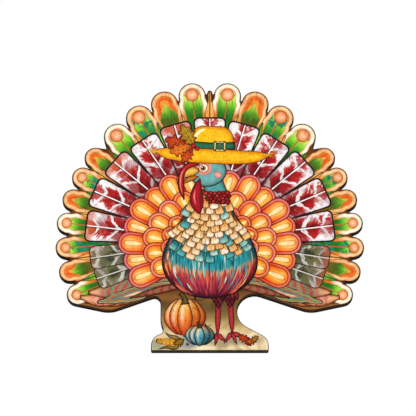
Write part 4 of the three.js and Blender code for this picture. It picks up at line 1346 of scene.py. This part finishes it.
def painted_fibreboard():
    """Fibreboard, sawn and rolled with matt black paint: lanes a roller's width apart with a lap line
    between them, drier streaks along them, a fine orange peel, the duller sawn edge with its lines, and
    eased corners where brown board shows through thin paint."""
    lane_width = 98
    material, add = new_material("matt_painted_fibreboard")
    place = in_mm(add)
    normal = add("NewGeometry").node.outputs["True Normal"]
    facing = add("Math ABSOLUTE", [add("SeparateXYZ", [normal]).node.outputs[1]])
    cloud = add("TexNoise", {"Vector": place, "Scale": 0.03, "Detail": 4.0})
    grit = add("TexNoise", {"Vector": place, "Scale": 0.9, "Detail": 3.0, "Roughness": 0.7})
    peel = add("TexNoise", {"Vector": place, "Scale": 0.7, "Detail": 1.0})
    saw = add("TexNoise", {"Vector": in_mm(add, (1, 0.06, 1)), "Scale": 0.8, "Detail": 2.0})
    dry = add("TexNoise",
              {"Vector": in_mm(add, (1, 1, 0.12)), "Scale": 0.09, "Detail": 5.0, "Roughness": 0.65})
    across = add("SeparateXYZ", [place]).node.outputs[0]
    lane = add("Math MULTIPLY", [add("Math MULTIPLY_ADD", [cloud, 22.0, across]), 1 / lane_width])
    lane = add("Math FRACT", [lane])
    lap = add("MapRange", [lane, 0.93, 1.0], **SMOOTH)
    side = add("MapRange", [facing, 0.4, 0.2], **SMOOTH)
    corner = add("Math MULTIPLY", [add("MapRange", [facing, 0.4, 0.6], **SMOOTH),
                                   add("MapRange", [facing, 0.9, 0.8], **SMOOTH)])
    worn = add("Math MULTIPLY", [corner, add("MapRange", [grit, 0.54, 0.62, 0.0, 0.8], **SMOOTH)])
    level = add("Math MULTIPLY_ADD", [lane, 0.16, dry])
    level = add("Math MULTIPLY_ADD", [cloud, 0.5, level])
    colour = add("ValToRGB", [level], span=1.4,
                 stops=[(0.62, "#0b0a0a"), (0.8, "#131211"), (0.92, "#1b1918"), (1.1, "#2c2825")])
    dust = add("MapRange", [grit, 0.62, 0.75, 0.0, 0.3], **SMOOTH)
    rough = add("MapRange", [level, 0.7, 1.1, 0.5, 0.8])
    rough = add("Math MULTIPLY_ADD", [side, 0.5, rough])
    height = coated(add, peel, (side, saw))
    bump = add("Bump", {"Strength": 0.35, "Distance": 0.15 * MM, "Height": height})
    colour = coated(add, colour, (add("Math MULTIPLY", [lap, 0.35]), "#080807"), (dust, "#4a453f"),
                    (side, "#080706"), (worn, "#6b4e36"))
    surface = add("BsdfPrincipled",
                  {"Base Color": colour, "Roughness": rough, "Specular IOR Level": 0.07, "Normal": bump})
    add("OutputMaterial", [surface])
    return material


def zinc(name, tints, grain, base_roughness):
    """Zinc plate over drawn or rolled steel: blotches of slightly different grey, fine lines along
    the rolling, and dull spots of handling."""
    material, add = new_material(name)
    blotch = add("TexNoise", {"Vector": in_mm(add), "Scale": 0.35, "Detail": 3.0, "Distortion": 0.4})
    line = add("TexNoise", {"Vector": in_mm(add, grain), "Scale": 2.2, "Detail": 2.0})
    colour = add("ValToRGB", [blotch], stops=tints)
    rough = add("MapRange", [blotch, 0.3, 0.7, base_roughness - 0.08, base_roughness + 0.12])
    rough = add("Math MULTIPLY_ADD", [line, 0.12, rough])
    bump = add("Bump", {"Strength": 0.2, "Distance": 0.03 * MM, "Height": line})
    surface = add("BsdfPrincipled",
                  {"Base Color": colour, "Roughness": rough, "Metallic": 1.0, "Normal": bump})
    add("OutputMaterial", [surface])
    return material


def moulded_rubber():
    """Moulded black rubber: a fine sparked grain of 0.4 mm, a low shine on its rounded rim, and a grey
    bloom of dust on it."""
    material, add = new_material("moulded_black_rubber")
    grain = add("TexNoise", {"Vector": in_mm(add), "Scale": 2.5, "Detail": 2.0})
    bloom = add("TexNoise", {"Vector": in_mm(add), "Scale": 0.25, "Detail": 3.0})
    colour = add("ValToRGB", [bloom], stops=[(0.35, "#2a2826"), (0.55, "#383532"), (0.75, "#4c4843")])
    rough = add("MapRange", [bloom, 0.3, 0.7, 0.42, 0.62])
    bump = add("Bump", {"Strength": 0.3, "Distance": 0.06 * MM, "Height": grain})
    surface = add("BsdfPrincipled",
                  {"Base Color": colour, "Roughness": rough, "Specular IOR Level": 0.5, "Normal": bump})
    add("OutputMaterial", [surface])
    return material


def finish_nodes():
    """Gives each carried-over node its material."""
    plate = zinc("rolled_zinc_plate", [(0.3, "#a9adb0"), (0.5, "#babdbe"), (0.7, "#c9cbca")],
                 (1, 1, 0.08), 0.34)
    wire = zinc("drawn_zinc_wire", [(0.3, "#b3b6b8"), (0.5, "#c4c6c6"), (0.7, "#d0d1cf")], (0.2, 1, 1),
                0.27)
    passivated = zinc("yellow_passivated_zinc",
                      [(0.3, "#b9a468"), (0.45, "#cdb987"), (0.6, "#c9b3a0"), (0.75, "#d6c78e")],
                      (1, 1, 1), 0.3)
    board = painted_fibreboard()
    rubber = moulded_rubber()
    finishes = {"board": board, "printed_face": ground_ink(), "strap": plate, "d_ring": wire,
                "screw": passivated, "bumper": rubber}
    for name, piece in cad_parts.items():
        material = next(finish for start, finish in finishes.items() if name.startswith(start))
        piece.data.materials.clear()
        piece.data.materials.append(material)


finish_nodes()

look()
surroundings()
light("key", (-1.6, -2.6, FAN_MIDDLE + 1.5), 2.0, 62)
light("fill", (2.2, -2.2, FAN_MIDDLE + 0.2), 2.0, 28)
light("back", (0.8, 2.6, FAN_MIDDLE + 1.4), 2.0, 50)
bpy.context.scene.view_settings.view_transform = "Standard"
